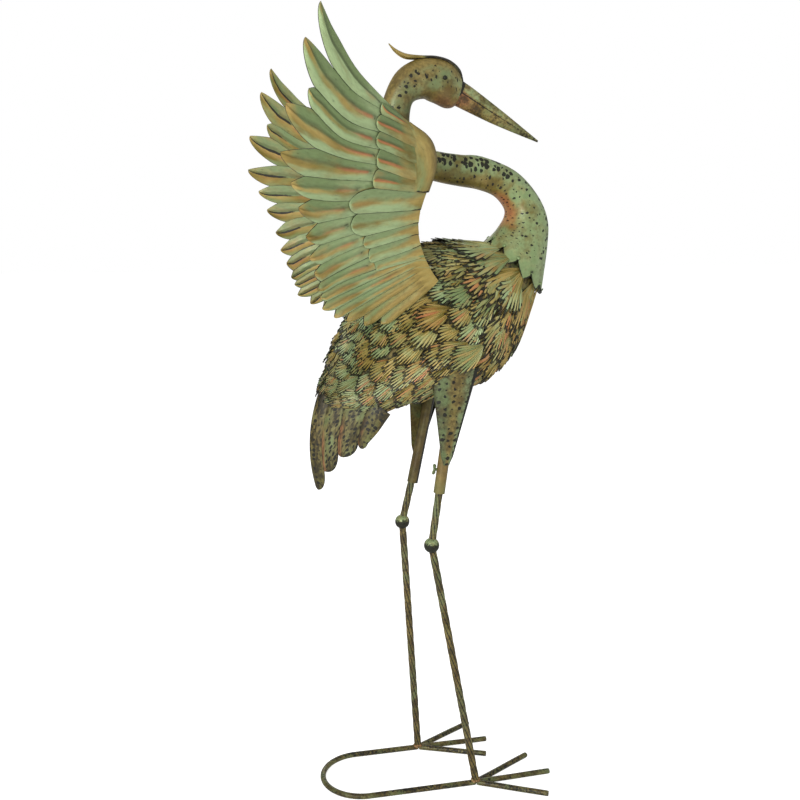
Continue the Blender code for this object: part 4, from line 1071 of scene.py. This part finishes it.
# %% Skin of the neck and head
from_middle = outer - outer.mean(1, keepdims=True)
thick = outer - from_middle / np.maximum(
    np.linalg.norm(from_middle, axis=2, keepdims=True), 1e-9) * SHEET
faces = grid_faces(rows, NECK_COLUMNS, wrap=True)
faces += [tuple(reversed(f)) for f in grid_faces(rows, NECK_COLUMNS, wrap=True,
                                                start=rows * NECK_COLUMNS)]
for c in range(NECK_COLUMNS):
    d = (c + 1) % NECK_COLUMNS
    half = rows * NECK_COLUMNS
    faces.append((d, c, c + half, d + half))
    last = (rows - 1) * NECK_COLUMNS
    faces.append((last + c, last + d, last + d + half, last + c + half))
paint = {**surface_run(outer * 0.001), **paint}
spread = {k: np.tile(np.broadcast_to(v, (rows, NECK_COLUMNS)).reshape(-1), 2)
          for k, v in paint.items()}
neck.add(placed(np.concatenate([outer.reshape(-1, 3), thick.reshape(-1, 3)])), faces, spread)
print("faces of the neck and head:", len(neck.faces))

# %% [markdown]
# The eyes are round beads set in the sheet, and small rivets hold the collar down.
# Whole spheres would hide half their faces inside the neck. A low dome that starts
# just under the surface is enough, and one helper makes eyes, rivets and weld beads.

# %% A low round dome
def add_dome(skin, centre, direction, radius, height, paint, columns=20, rows=7):
    """A dome in metres that stands on a surface along direction."""
    direction = np.asarray(direction, float) / np.linalg.norm(direction)
    side_way = np.cross(direction, [0.0, 0.0, 1.0])
    if np.linalg.norm(side_way) < 0.1:
        side_way = np.array([1.0, 0.0, 0.0])
    side_way = side_way / np.linalg.norm(side_way)
    up_way = np.cross(direction, side_way)
    lift = np.linspace(-0.35, 1.0, rows)
    rings = []
    for level in lift:
        around = np.linspace(0, 2 * math.pi, columns, endpoint=False)
        wide = radius * math.sqrt(max(1 - max(level, 0) ** 2, 0.01))
        rings.append(centre + direction * height * level
                     + np.outer(np.cos(around), side_way) * wide
                     + np.outer(np.sin(around), up_way) * wide)
    add_tube(skin, np.array(rings), paint)


print("faces of a dome:", len(grid_faces(7, 20, wrap=True)) + 2)

# %% Eyes and collar rivets
EYE_PLACE = 0.860
EYE_TURN = math.radians(97)
EYE_RADIUS = 0.0029
EYE_HEIGHT = 0.0024
RIVET_PLACE = 0.004
RIVET_RADIUS = 0.0025
RIVET_HEIGHT = 0.0014


def neck_point(place, angle, lift):
    """One point of the neck in millimetres; place is 0 at the collar and 1 at the beak."""
    return ring_point(smooth_rows(NECK_SECTIONS, np.array([place])), np.array([angle]),
                      np.array([lift]), 2.0)[0]


for side in (-1, 1):
    out_way = np.array([0.12, side * 1.0, 0.12])
    at = neck_point(EYE_PLACE, side * EYE_TURN, 0.0)
    add_dome(neck, placed(at + out_way * 0.4), out_way, EYE_RADIUS, EYE_HEIGHT,
             {"dark": 1.0, "seed": 1.0, "mint": 0.2})
    for k in range(COLLAR_POINTS // 2):
        at = neck_point(RIVET_PLACE, side * math.radians(15 + 30 * k), 1.0)
        add_dome(neck, placed(at), at - loft[0].mean(0), RIVET_RADIUS, RIVET_HEIGHT,
                 {"dark": 0.35, "mint": 0.3, "seed": 2.4})
neck.piece("bent_neck_and_head", neck_paint, ["neck_and_head"], 45.0)

# %% [markdown]
# The beak is two long sheet cones pressed together. A groove runs along it where the
# two halves meet, and the paint darkens towards the point. A plain cone would lose
# the groove, so four measured sections are lofted and pinched along the mouth.

# %% Beak
BEAK_SECTIONS = ((68, 980, 58, 950, 12), (86, 975, 70, 946, 12.5), (137, 941, 127, 922, 6.5),
                 (191, 902, 190, 899.5, 1.2))
BEAK_RINGS = 60
BEAK_COLUMNS = 48

beak = Skin()
run = np.linspace(0.2, 1, BEAK_RINGS)[:, None] * np.ones((1, BEAK_COLUMNS))
turn = np.linspace(0, 2 * math.pi, BEAK_COLUMNS + 1)[None, :-1] * np.ones((BEAK_RINGS, 1))
mouth = np.exp(-(np.cos(turn) / 0.09) ** 2)
rings = ring_point(smooth_rows(BEAK_SECTIONS, run), turn, -0.9 * mouth * (1 - run), 1.75)
upper = ramp(-0.05, -0.3, np.cos(turn))
add_tube(beak, placed(rings), {
    "mint": np.clip(0.35 + 0.4 * upper * ramp(0.9, 0.5, run), 0, 1),
    "ochre": 0.5 + 0.3 * (1 - upper) * ramp(0.9, 0.6, run),
    "blush": 0.85 * ramp(0.65, 0.35, run) * (1 - 0.7 * upper),
    "dark": np.clip(0.9 * mouth * ramp(0.95, 0.7, run) + 0.5 * ramp(0.8, 1.0, run)
                    + 0.95 * ramp(0.36, 0.34, run), 0, 1),
    "shade": 0.08 + 0.2 * (1 - upper) + 0.2 * ramp(0.6, 1.0, run),
    "along": run, "across": 0.0, "seed": 6.0})
beak.piece("pressed_beak", beak_paint, ["beak"])

# %% [markdown]
# The crest is a single strip of sheet that follows the crown and flies off behind
# it in a curled point. A curve with a bevel would give a round wire. A narrow grid
# with a thickness stays a strip, and each row of points has its own width and bow.

# %% Crest
# forward, height, half width and bow of the strip in millimetres
CREST_LINE = ((83.8, 975.5, 5, 1.2), (78.5, 990.5, 8, 2), (66, 1001, 10.5, 3), (48, 1005.8, 11, 3.2),
              (28, 1006, 10, 3.8), (8, 1007.5, 8, 5), (-6, 1013, 5, 3.5), (-15, 1019.5, 1, 0.5))
CREST_ROWS = 70


def grid_normals(grid):
    """Unit normals of a grid of points."""
    down = np.gradient(grid, axis=0)
    over = np.gradient(grid, axis=1)
    normal = np.cross(down, over)
    return normal / np.maximum(np.linalg.norm(normal, axis=2, keepdims=True), 1e-9)


crest = Skin()
spine = smooth_rows(CREST_LINE, np.linspace(0, 1, CREST_ROWS))
over = np.linspace(-1, 1, 15)[None, :]
strip = np.stack([spine[:, None, 0] + 0 * over, spine[:, None, 2] * over,
                  spine[:, None, 1] - spine[:, None, 3] * over ** 2], -1)
normal = grid_normals(strip)
normal = normal * np.sign(normal[..., 2:3] + 1e-9)
along = np.linspace(0, 1, CREST_ROWS)[:, None]
add_sheet(crest, placed(strip + normal * SHEET / 2), placed(strip - normal * SHEET / 2), {
    "mint": 0.15, "ochre": 0.55 + 0.4 * along,
    "dark": np.clip(0.75 * ramp(0.62, 0.4, along) * ramp(0.35, 0.8, np.abs(over))
                    + 0.45 * ramp(0.7, 0.5, along), 0, 1),
    "along": along, "across": over, "seed": 8.0})
crest.piece("crown_crest", crest_paint, ["crest"])

# %% [markdown]
# The tail is a sheet folded round the rear of the body and cut into long fingers.
# One sheet with slits cut out of it would have flat edges. Here each finger is a
# blade like a feather, and the front ones stand over the rear ones.

# %% The folded sheet of the tail
TAIL_RIDGE = -123.3
TAIL_REACH = 84.0
TAIL_HALF_WIDTH = 46.0
TAIL_SLOPE = math.atan2(TAIL_HALF_WIDTH, TAIL_REACH)


def tail_point(points):
    """From (forward of the ridge, height, out) to metres; forward carries the side."""
    forward, high, out = np.moveaxis(np.asarray(points, float), -1, 0)
    depth = np.abs(forward)
    side = np.tanh(forward / 2.0)
    back = TAIL_RIDGE + 0.0024 * (high - 495.0) ** 2 + np.sqrt(depth ** 2 + 4.0) - 2.0
    wide = TAIL_HALF_WIDTH * (np.maximum(depth, 0.01) / TAIL_REACH) ** 0.75
    slant = TAIL_SLOPE + (math.pi / 2 - TAIL_SLOPE) * np.exp(-depth / 5)
    return placed(np.stack([back - out * np.sin(slant), np.sign(forward) * wide
                            + side * out * np.cos(slant), high], -1))


print("slope of the tail's sides in degrees:", round(math.degrees(TAIL_SLOPE), 1))

# %% Edges of the tail's fingers
TAIL_TIPS = ((0, 435), (20, 463), (41, 485), (65, 498))
TAIL_NOTCHES = ((15, 464), (35, 491), (60, 506))
# the front finger's free edge, which has no notch in front of it
TAIL_FRONT = ((95, 545), (84, 522), (72, 505))


def tail_edge(i, notch_number, near, far):
    """Edge of finger i from the body down to a notch and on to the finger's tip."""
    tip = np.array(TAIL_TIPS[i], float)
    root_z = 590.0 - 26 * tip[0] / 65
    notch = np.array(TAIL_NOTCHES[notch_number], float)
    groove = even_line([(notch[0] * 1.15, root_z), (notch[0] * (1.15 + 1) / 2, 540), notch], near)
    return np.concatenate([groove, rounded(notch, tip, (tip[0], 560), far)[1:]])


def tail_edges(i, near, far):
    """Both edges of a finger: the front one, and the rear one under the next finger."""
    if i < 3:
        lower = tail_edge(i, i, near, far)
    else:
        tip = np.array(TAIL_TIPS[i], float)
        lower = np.concatenate([even_line(TAIL_FRONT, near),
                                rounded(TAIL_FRONT[-1], tip, (82, 560), far)[1:]])
    upper = tail_edge(i, i - 1, near, far) if i else lower * np.array([-1, 1])
    return lower, upper


print("fingers on each side of the ridge:", len(TAIL_TIPS) - 1)

# %% Tail
def tail_blade(skin, i, side):
    near, far = 20, 16
    lower, upper = tail_edges(i, near, far)
    flat = blade_grid(lower, upper, 1.0 if i else 0.0, near)
    if i:
        flat[..., 0] = np.maximum(flat[..., 0], 0.3)
    rows = len(flat)
    along = np.linspace(0, 1, rows)[:, None]
    rib = 2.2 * (1 - np.abs(ACROSS) ** 2)[None, :] * (1 - 0.6 * ramp(0.85, 1.0, along))
    step = 0.55 * i + 0.7 * ramp(0, 1, ACROSS)[None, :] * (1 if i else 0)
    height = rib + step
    flat = flat * np.array([side, 1])
    rear = ramp(0.25, 0.9, ACROSS)[None, :] * np.ones((rows, 1))
    low = ramp(-0.6, -1.0, ACROSS)[None, :]
    tipward = ramp(0.55, 1.0, along)
    shade = 0.4 + 0.25 * tipward + 0.08 * (i == 0) + 0.25 * ramp(0.3, 0.0, along)
    add_sheet(skin, tail_point(np.dstack([flat, height])),
              tail_point(np.dstack([flat, height - SHEET])), {
        "mint": np.clip(0.15 + 0.3 * ramp(0.5, -0.1, ACROSS)[None, :] * (0.3 + (i > 0)), 0, 1),
        "ochre": np.clip(0.7 - 0.15 * (i in (1, 2)), 0, 1),
        "blush": np.clip(0.9 * rear * ramp(0.1, 0.4, along) * (0.3 if i == 0 else 1.0), 0, 1),
        # the dark along each finger's front edge is painted shade where the finger in front laps over
        # it
        "dark": np.clip(0.45 * ramp(0.9, 1.0, along) + 0.3 * low, 0, 1),
        "dabs": np.clip(1.0 + 0.3 * tipward, 0, 1.3) * ramp(0.95, 0.5, ACROSS)[None, :],
        "shade": np.clip(shade, 0, 1),
        "along": along, "across": ACROSS[None, :], "seed": 12 + 0.7 * i})


tail = Skin()
tail_blade(tail, 0, 1)
for i in (1, 2, 3):
    for side in (-1, 1):
        tail_blade(tail, i, side)
tail.piece("fingered_tail", tail_paint, ["tail"])

# %% [markdown]
# Thigh sheets are half cones over the socket tubes. A cone cut in half would be too
# even, so a grid narrows towards the foot and keeps its measured lean. The paint has
# rows of short dabs. The front edge, where the sheet turns away from the light, and the
# inner face round the tube are darkened as painted shade.

# %% Measured legs
# millimetres; lean is how far the tube moves forward for each millimetre it rises
LEGS = {"right": {"side": -1, "tube_foot": (42.5, 434), "lean": 0.135, "knee": (32, 361.5),
                  "foot_x": 98.0, "screw_angle": 180, "thigh_shifts": (2, -4)},
        "left": {"side": 1, "tube_foot": (30, 424), "lean": 0.2, "knee": (15.5, 365),
                 "foot_x": 41.0, "screw_angle": 90, "thigh_shifts": (-1, -9)}}
TUBE_RADIUS = 7.75
# sideways distances of the tubes, the knees and the feet from the middle
TUBE_OUT = 50.0
KNEE_OUT = 52.0
FOOT_OUT = 56.5
print("height of the knees in mm:", [leg["knee"][1] for leg in LEGS.values()])

# %% Thighs
THIGH_TOP = 606


def make_thigh(name, leg):
    rows, columns = 44, 33
    share = np.linspace(0, 1, rows)[:, None]
    foot_z = leg["tube_foot"][1] + 40.0
    high = foot_z + (THIGH_TOP - foot_z) * share
    half = (6 + 27 * share) * (0.7 + 0.3 * ramp(0, 0.1, share))
    shift = leg["thigh_shifts"][0] + (leg["thigh_shifts"][1] - leg["thigh_shifts"][0]) * share
    outer = TUBE_RADIUS + 1.6 + 4.4 * share
    edge = TUBE_RADIUS + 0.9 - 3.9 * share
    angle = np.radians(np.linspace(-90, 90, columns))[None, :]
    x = leg["tube_foot"][0] + leg["lean"] * (high - leg["tube_foot"][1]) + shift
    x = x + half * np.sin(angle)
    y = TUBE_OUT + edge + (outer - edge) * np.cos(angle)
    grid = np.stack([x, leg["side"] * y, high + 0 * angle], -1)
    back = grid - np.array([0, leg["side"] * SHEET, 0])
    front = np.sin(angle) * np.ones((rows, 1))
    thigh = Skin()
    add_sheet(thigh, placed(grid), placed(back), {
        "mint": np.clip(0.3 + 0.5 * ramp(0.2, 0.7, front) + 0.25 * ramp(0.7, 1.0, share), 0, 1),
        "ochre": np.clip(0.6 * ramp(0.7, 0.0, np.abs(front - 0.1)) + 0.2, 0, 1),
        # the dark band and umber on the front edge are painted shade where the sheet turns away from
        # the light; the rear edge is darker as well
        "blush": 0.1, "dark": 0.75 * ramp(0.75, 0.82, front),
        "shade": np.clip(0.42 + 0.3 * ramp(0.84, 0.92, front) + 0.3 * ramp(-0.7, -1.0, front), 0, 1),
        "dabs": ((0.68 + 0.12 * ramp(0.9, 0.45, share)) * ramp(0.97, 0.86, share)
                 * ramp(1.0, 0.9, np.abs(front))),
        "along": share, "across": 0.0, "seed": 14.0 + leg["side"]},
        # the inner face is painted shade, darkest towards the front where it wraps round the tube
        {"dabs": 0.0, "mint": 0.15, "ochre": 0.6, "shade": 0.3, "dark": 0.8 * ramp(-0.5, 0.3, front)})
    return thigh.piece("dabbed_thigh_" + name, thigh_paint, ["thigh_" + name])


for name, leg in LEGS.items():
    make_thigh(name, leg)

# %% [markdown]
# Each leg is a socket tube and a twisted rod that a thumb screw clamps in it, with a
# second rod below the knee. A screw modifier could twist a star outline, but these
# rods lean. So a section with six lobes is swept along each rod's own line and turns
# as it goes. Balls at the knees hide the weld between two rods.

# %% Rings swept along a line
def sweep(line, section_at, columns, level=(0.0, 1.0, 0.0)):
    """Rings round a line in millimetres; section_at(angles, run, i) gives the radius.
    The rings are squared to level, and to x where the line runs along level."""
    line = np.asarray(line, float)
    ways = np.gradient(line, axis=0)
    ways = ways / np.linalg.norm(ways, axis=1, keepdims=True)
    run = np.concatenate([[0], np.cumsum(np.linalg.norm(np.diff(line, axis=0), axis=1))])
    side_way = np.cross(ways, level)
    weak = np.linalg.norm(side_way, axis=1) < 0.05
    side_way[weak] = np.cross(ways[weak], [1.0, 0.0, 0.0])
    side_way = side_way / np.linalg.norm(side_way, axis=1, keepdims=True)
    up_way = np.cross(side_way, ways)
    around = np.linspace(0, 2 * math.pi, columns, endpoint=False)
    rings = []
    for i in range(len(line)):
        radius = section_at(around, run[i], i)
        rings.append(line[i] + np.outer(np.cos(around) * radius, side_way[i])
                     + np.outer(np.sin(around) * radius, up_way[i]))
    return np.array(rings), run


def even_turns(columns):
    """Angles round a ring, as one row."""
    return np.linspace(0, 2 * math.pi, columns, endpoint=False)[None, :]


def tube_axis(leg):
    """Foot of a leg's socket tube and the unit direction up the tube."""
    foot = np.array([leg["tube_foot"][0], leg["side"] * TUBE_OUT, leg["tube_foot"][1]])
    up_tube = np.array([leg["lean"], 0, 1.0])
    return foot, up_tube / np.linalg.norm(up_tube)


print("right tube's foot in mm:", tube_axis(LEGS["right"])[0].tolist())

# %% Twisted rods
TWIST_PITCH = 130.0
ROD_RADIUS = 5.25
ROD_COLUMNS = 48


def rod_lobe(around, run):
    """0 in a flute and 1 on one of the six lobes of the twisted rod."""
    return np.abs(np.cos(3 * (around - 2 * math.pi * run / TWIST_PITCH))) ** 0.8


def make_rod(name, start, end, node):
    steps = max(12, int(np.linalg.norm(np.subtract(end, start)) / 1.6))
    line = np.linspace(start, end, steps)
    rings, run = sweep(line, lambda a, r, i: ROD_RADIUS * (0.8 + 0.2 * rod_lobe(a, r)),
                       ROD_COLUMNS)
    around = even_turns(ROD_COLUMNS)
    lobe = rod_lobe(around, run[:, None])
    tone = np.sin(run[:, None] / 31) * 0.2
    rod = Skin()
    add_tube(rod, placed(rings), {
        "across": lobe, "mint": 0.4 + tone + 0 * around, "ochre": 0.75 - tone + 0 * around,
        "blush": np.clip(0.25 + 0.3 * np.sin(run[:, None] / 17 + around * 2), 0, 1) * 0.6,
        "dark": 0.62 * (1 - lobe), "shade": 0.5, "dabs": 0.0, "seed": 17.0, "along": run[:, None]})
    return rod.piece(name, bar_paint, [node], 60.0)


print("one turn of a rod in mm:", TWIST_PITCH)

# %% Socket tubes
TUBE_TOP = 602
TUBE_WALL = 2
TUBE_RINGS = 60
TUBE_COLUMNS = 48


def make_tube(name, leg):
    foot, _up_tube = tube_axis(leg)
    rise = TUBE_TOP - foot[2]
    top = foot + np.array([leg["lean"] * rise, 0, rise])
    line = np.linspace(foot, top, TUBE_RINGS)
    outer, run = sweep(line, lambda a, r, i: np.full_like(a, TUBE_RADIUS), TUBE_COLUMNS)
    inner, _run = sweep(line, lambda a, r, i: np.full_like(a, TUBE_RADIUS - TUBE_WALL),
                        TUBE_COLUMNS)
    rings = np.concatenate([outer, inner[::-1], outer[:1]])
    share = np.concatenate([run, run[::-1], run[:1]])[:, None]
    around = even_turns(TUBE_COLUMNS)
    inner_face = np.arange(len(rings))[:, None] >= TUBE_RINGS
    tube = Skin()
    add_tube(tube, placed(rings), {
        "across": 1.0, "ochre": 0.75 + 0 * share, "mint": 0.25 + 0.2 * np.sin(around),
        "shade": 0.5 + 0.16 * (name == "left"),
        "blush": 0.2 * np.exp(-((share - 30) / 18) ** 2) + 0.1, "dabs": 0.1,
        # the bore is dark; on the left tube the dark strip down its forward side is painted shade, on
        # the side away from the key lamp
        "dark": np.maximum(0.75 * inner_face,
                           0.8 * ramp(-0.35, -0.5, np.cos(around)) * (name == "left")),
        "seed": 19.0, "along": share}, closed=False)
    return tube.piece("socket_tube_" + name, tube_paint, ["leg_tube_" + name], 60.0)


print("bore of a tube in mm:", 2 * (TUBE_RADIUS - TUBE_WALL))

# %% Knee balls
KNEE_RADIUS = 10.5


def make_ball(name, centre, node):
    rows, columns = 28, 40
    polar = np.linspace(0.02, math.pi - 0.02, rows)[:, None]
    around = even_turns(columns)
    lumps = KNEE_RADIUS * (1 - 0.012 * np.sin(3 * around + 1) * np.sin(4 * polar))
    rings = np.stack([lumps * np.sin(polar) * np.cos(around), lumps * np.sin(polar) * np.sin(around),
                      lumps * np.cos(polar) + 0 * around], -1) + centre
    ball = Skin()
    top = ramp(1.9, 0.9, polar) + 0 * around
    add_tube(ball, placed(rings), {"mint": 0.75 * top, "ochre": 0.35, "blush": 0.25 * top,
                                   "dark": np.clip(0.95 - 0.6 * top, 0, 1), "seed": 23.0})
    return ball.piece("painted_knee_" + name, fitting_paint, [node], 60.0)


print("knee ball across in mm:", 2 * KNEE_RADIUS)

# %% Both legs
# the rod goes this far into its tube, and the lower rod starts this far from the knee
ROD_IN_TUBE = 55
KNEE_GAP = 7

for name, leg in LEGS.items():
    foot, up_tube = tube_axis(leg)
    knee = np.array([leg["knee"][0], leg["side"] * KNEE_OUT, leg["knee"][1]])
    ground = np.array([leg["foot_x"], leg["side"] * FOOT_OUT, 8.1])
    to_foot = (ground - knee) / np.linalg.norm(ground - knee)
    make_rod("twisted_rod_upper_" + name, knee, foot + up_tube * ROD_IN_TUBE,
             "leg_rod_upper_" + name)
    make_rod("twisted_rod_lower_" + name, knee + to_foot * KNEE_GAP, ground,
             "leg_rod_lower_" + name)
    make_tube(name, leg)
    make_ball(name, knee, "knee_ball_" + name)

# %% [markdown]
# The thumb screws are cast: a round shank with two thin wings. Cubes with a bevel
# would look sawn. Each wing is instead a row of flat oval rings, thicker at its root
# and round at its tip, and the shank is a short sweep with a ripple for its thread.

# %% Thumb screws
# distances in millimetres
SCREW_RISE = 32
SCREW_WING = 7.4


def make_screw(name, leg):
    foot, up_tube = tube_axis(leg)
    turn = math.radians(leg["screw_angle"])
    out_way = np.array([math.cos(turn), math.sin(turn), 0.0])
    out_way = out_way - up_tube * np.dot(out_way, up_tube)
    out_way = out_way / np.linalg.norm(out_way)
    seat = foot + up_tube * SCREW_RISE
    screw = Skin()
    coat_values = {"mint": 0.3, "ochre": 0.15, "dark": 0.4, "shade": 0.35, "seed": 27.0}
    shank, _run = sweep(np.linspace(seat + out_way * 5.6, seat + out_way * 11.5, 24),
                        lambda a, r, i: np.full_like(a, 1.7 + 0.22 * (i % 2)), 20)
    add_tube(screw, placed(shank), coat_values)
    middle = seat + out_way * 11.3
    flat_way = np.cross(up_tube, out_way)
    around = np.linspace(0, 2 * math.pi, 16, endpoint=False)
    t = np.linspace(0, 1, 16)
    wide = 1.5 + 1.1 * np.sin(t * math.pi * 0.62)
    round_tip = np.sqrt(np.clip(1 - ((t - 0.55) / 0.47) ** 2, 0.02, 1))
    wide = wide * round_tip * (t > 0.5) + wide * (t <= 0.5)
    for way in (-1, 1):
        line = middle + np.outer(t * SCREW_WING * way, up_tube) + np.outer(t ** 2 * 0.7, out_way)
        rings = np.array([p + np.outer(np.cos(around) * w, out_way)
                          + np.outer(np.sin(around) * (1.25 - 0.45 * s), flat_way)
                          for p, w, s in zip(line, wide, t)])
        add_tube(screw, placed(rings), coat_values)
    return screw.piece("cast_screw_" + name, fitting_paint,
                       ["thumb_screw_" + name], 60.0)


for name, leg in LEGS.items():
    make_screw(name, leg)

# %% [markdown]
# The stand is one round bar bent to a hairpin, with three toes welded on at each
# foot. A curve with a round bevel would do. The same sweep as for the rods is used,
# because its rings carry painted values. Bars come rough from the bender, so their
# lines waver by a fraction of a millimetre.

# %% A bar that lies on the floor
BAR_RADIUS = 3.86
BAR_COLUMNS = 32


def make_bar(name, line, node, seed):
    """A bar along a flat line; seed sets its waver and its mottling."""
    wobble = np.random.default_rng(seed)
    waver = 0.12 * np.sin(np.linspace(0, 9, len(line)) + wobble.uniform(0, 6))
    line = np.asarray(line, float) + np.stack([0 * waver, waver, 0 * waver], 1)
    ends = (0, len(line) - 1)
    rings, run = sweep(line, lambda a, r, i: np.full_like(a, BAR_RADIUS - 0.35 * (i in ends)),
                       BAR_COLUMNS, (0.0, 0.0, 1.0))
    around = even_turns(BAR_COLUMNS)
    run = run[:, None]
    bar = Skin()
    add_tube(bar, placed(rings), {
        "across": 1.0, "shade": 0.55, "ochre": 0.6, "blush": 0.18,
        "mint": 0.35 + 0.15 * np.sin(run / 23 + seed),
        "dabs": 0.5 + 0.3 * np.sin(run / 19 + seed * 2) + 0 * around,
        "dark": np.clip(0.32 + 0.22 * np.sin(run / 33 + seed * 3 + around), 0, 0.7),
        "seed": 31.0 + seed, "along": run})
    return bar.piece(name, bar_paint, [node], 50.0)


print("floor bar across in mm:", 2 * BAR_RADIUS)

# %% Floor loop
# the arms lie under the feet, and a half circle joins them behind
ARM_LENGTH = 154

bend = np.radians(np.linspace(-90, -270, 90))
loop = [(LEGS["right"]["foot_x"] - t, -FOOT_OUT, BAR_RADIUS)
        for t in np.linspace(0, ARM_LENGTH, 60)[:-1]]
loop += [(-FOOT_OUT + FOOT_OUT * math.cos(a), FOOT_OUT * math.sin(a), BAR_RADIUS) for a in bend]
loop += [(t, FOOT_OUT, BAR_RADIUS) for t in np.linspace(-56, LEGS["left"]["foot_x"], 40)[1:]]
make_bar("hairpin_floor_loop", loop, "floor_loop", 1)

# %% Toes
TOE_LENGTH = 110
TOE_START = 2.5
# turn inwards in degrees, and share of the full length
TOES = {"right": {"inner": (29.5, 1.0), "middle": (2.0, 1.03), "outer": (-29.5, 0.95)},
        "left": {"inner": (24.0, 0.95), "middle": (0.0, 0.99), "outer": (-29.5, 1.0)}}
for name, toes in TOES.items():
    leg = LEGS[name]
    start = np.array([leg["foot_x"], leg["side"] * FOOT_OUT, BAR_RADIUS])
    for k, (toe, (degrees, share)) in enumerate(toes.items()):
        turn = math.radians(-leg["side"] * degrees)
        way = np.array([math.cos(turn), math.sin(turn), 0.0])
        line = [start + way * (TOE_START + (TOE_LENGTH * share - TOE_START) * t)
                for t in np.linspace(0, 1, 50)]
        make_bar(f"toe_bar_{toe}_{name}", line, f"toe_{toe}_{name}", 3 + k + leg["side"])

# %% [markdown]
# A weld leaves a ring of small overlapping beads where rod, bar and toes meet. A bump
# in the paint would show no outline against the floor, so each bead is a low dome
# with its own size, set a little unevenly round the foot.

# %% Weld beads at the feet
BEADS = 11

for name, leg in LEGS.items():
    beads = Skin()
    random = np.random.default_rng(40 + leg["side"])
    foot = np.array([leg["foot_x"], leg["side"] * FOOT_OUT, 8.0])
    for k in range(BEADS):
        angle = 2 * math.pi * k / BEADS + random.normal(0, 0.1)
        spot = foot + np.array([math.cos(angle) * 5.0, math.sin(angle) * 4.4,
                                random.uniform(-1.8, 0.4)])
        add_dome(beads, placed(spot), np.array([math.cos(angle), math.sin(angle), 0.9]),
                 0.0021 * random.uniform(0.8, 1.25), 0.0019,
                 {"blush": 0.7, "ochre": 0.4, "dark": random.uniform(0.3, 0.5), "across": 1.0,
                  "seed": 50.0 + k}, 14, 6)
    beads.piece("weld_beads_" + name, bar_paint, [], 60.0)

# %% [markdown]
# The studio is plain: a pale floor and white surroundings. A sheet of paper bent up
# behind the statue would throw a shadow line, so the floor runs on to the horizon
# and glows a little towards the camera, which hides its far edge.

# %% Floor
FLOOR_REACH = 14
floor_mesh = bpy.data.meshes.new("studio_floor")
floor_mesh.from_pydata([(-FLOOR_REACH, -FLOOR_REACH, 0), (FLOOR_REACH, -FLOOR_REACH, 0),
                        (FLOOR_REACH, FLOOR_REACH, 0), (-FLOOR_REACH, FLOOR_REACH, 0)],
                       [], [(0, 1, 2, 3)])
floor = bpy.data.objects.new("studio_floor", floor_mesh)
bpy.context.scene.collection.objects.link(floor)
floor_paint = bpy.data.materials.new("pale_floor")
floor_paint.use_nodes = True
floor_tree = floor_paint.node_tree
floor_shader = floor_tree.nodes["Principled BSDF"]
floor_shader.inputs["Base Color"].default_value = (0.93, 0.93, 0.93, 1)
floor_shader.inputs["Roughness"].default_value = 0.9
floor_shader.inputs["Emission Color"].default_value = (1, 1, 1, 1)
floor_glow = put(floor_tree, "MapRange", i0=put(floor_tree, "LightPath").outputs["Is Camera Ray"],
                 i3=0.1, i4=0.7).outputs[0]
floor_tree.links.new(floor_glow, floor_shader.inputs["Emission Strength"])
floor_mesh.materials.append(floor_paint)
print("floor in metres across:", 2 * FLOOR_REACH)

# %% White surroundings
world = bpy.data.worlds.new("white_studio")
bpy.context.scene.world = world
world.use_nodes = True
sky = world.node_tree
backdrop = sky.nodes["Background"]
backdrop.inputs["Color"].default_value = (1.0, 1.0, 1.0, 1)
lamp_share = put(sky, "MapRange", i0=put(sky, "LightPath").outputs["Is Camera Ray"], i3=0.42, i4=1.0)
sky.links.new(lamp_share.outputs[0], backdrop.inputs["Strength"])
print("surroundings:", world.name)

# %% [markdown]
# A sun lamp would draw hard shadows, and the photograph's are soft. So the light is
# a large lamp on the camera's left and above, and a weak one on the right so that the
# dark side of the rods still reads. A third lamp stands behind, for whoever walks
# round the bird. All three are square panels that aim at the middle of the statue.

# %% Lamps
AIM = (0, 0, 0.6)


def soft_lamp(name, place, size, watts):
    data = bpy.data.lights.new(name, "AREA")
    data.size = size
    data.energy = watts
    lamp = bpy.data.objects.new(name, data)
    lamp.location = place
    lamp.rotation_euler = (Vector(AIM) - Vector(place)).to_track_quat("-Z", "Y").to_euler()
    bpy.context.scene.collection.objects.link(lamp)


soft_lamp("key_lamp", (-1.5, -2.0, 1.35), 1.0, 47.0)
soft_lamp("fill_lamp", (1.8, -1.6, 1.6), 1.6, 7.0)
soft_lamp("back_lamp", (0.6, 2.4, 1.5), 1.6, 12.0)
bpy.context.scene.view_settings.view_transform = "Standard"
print("lamps:", len(bpy.data.lights))
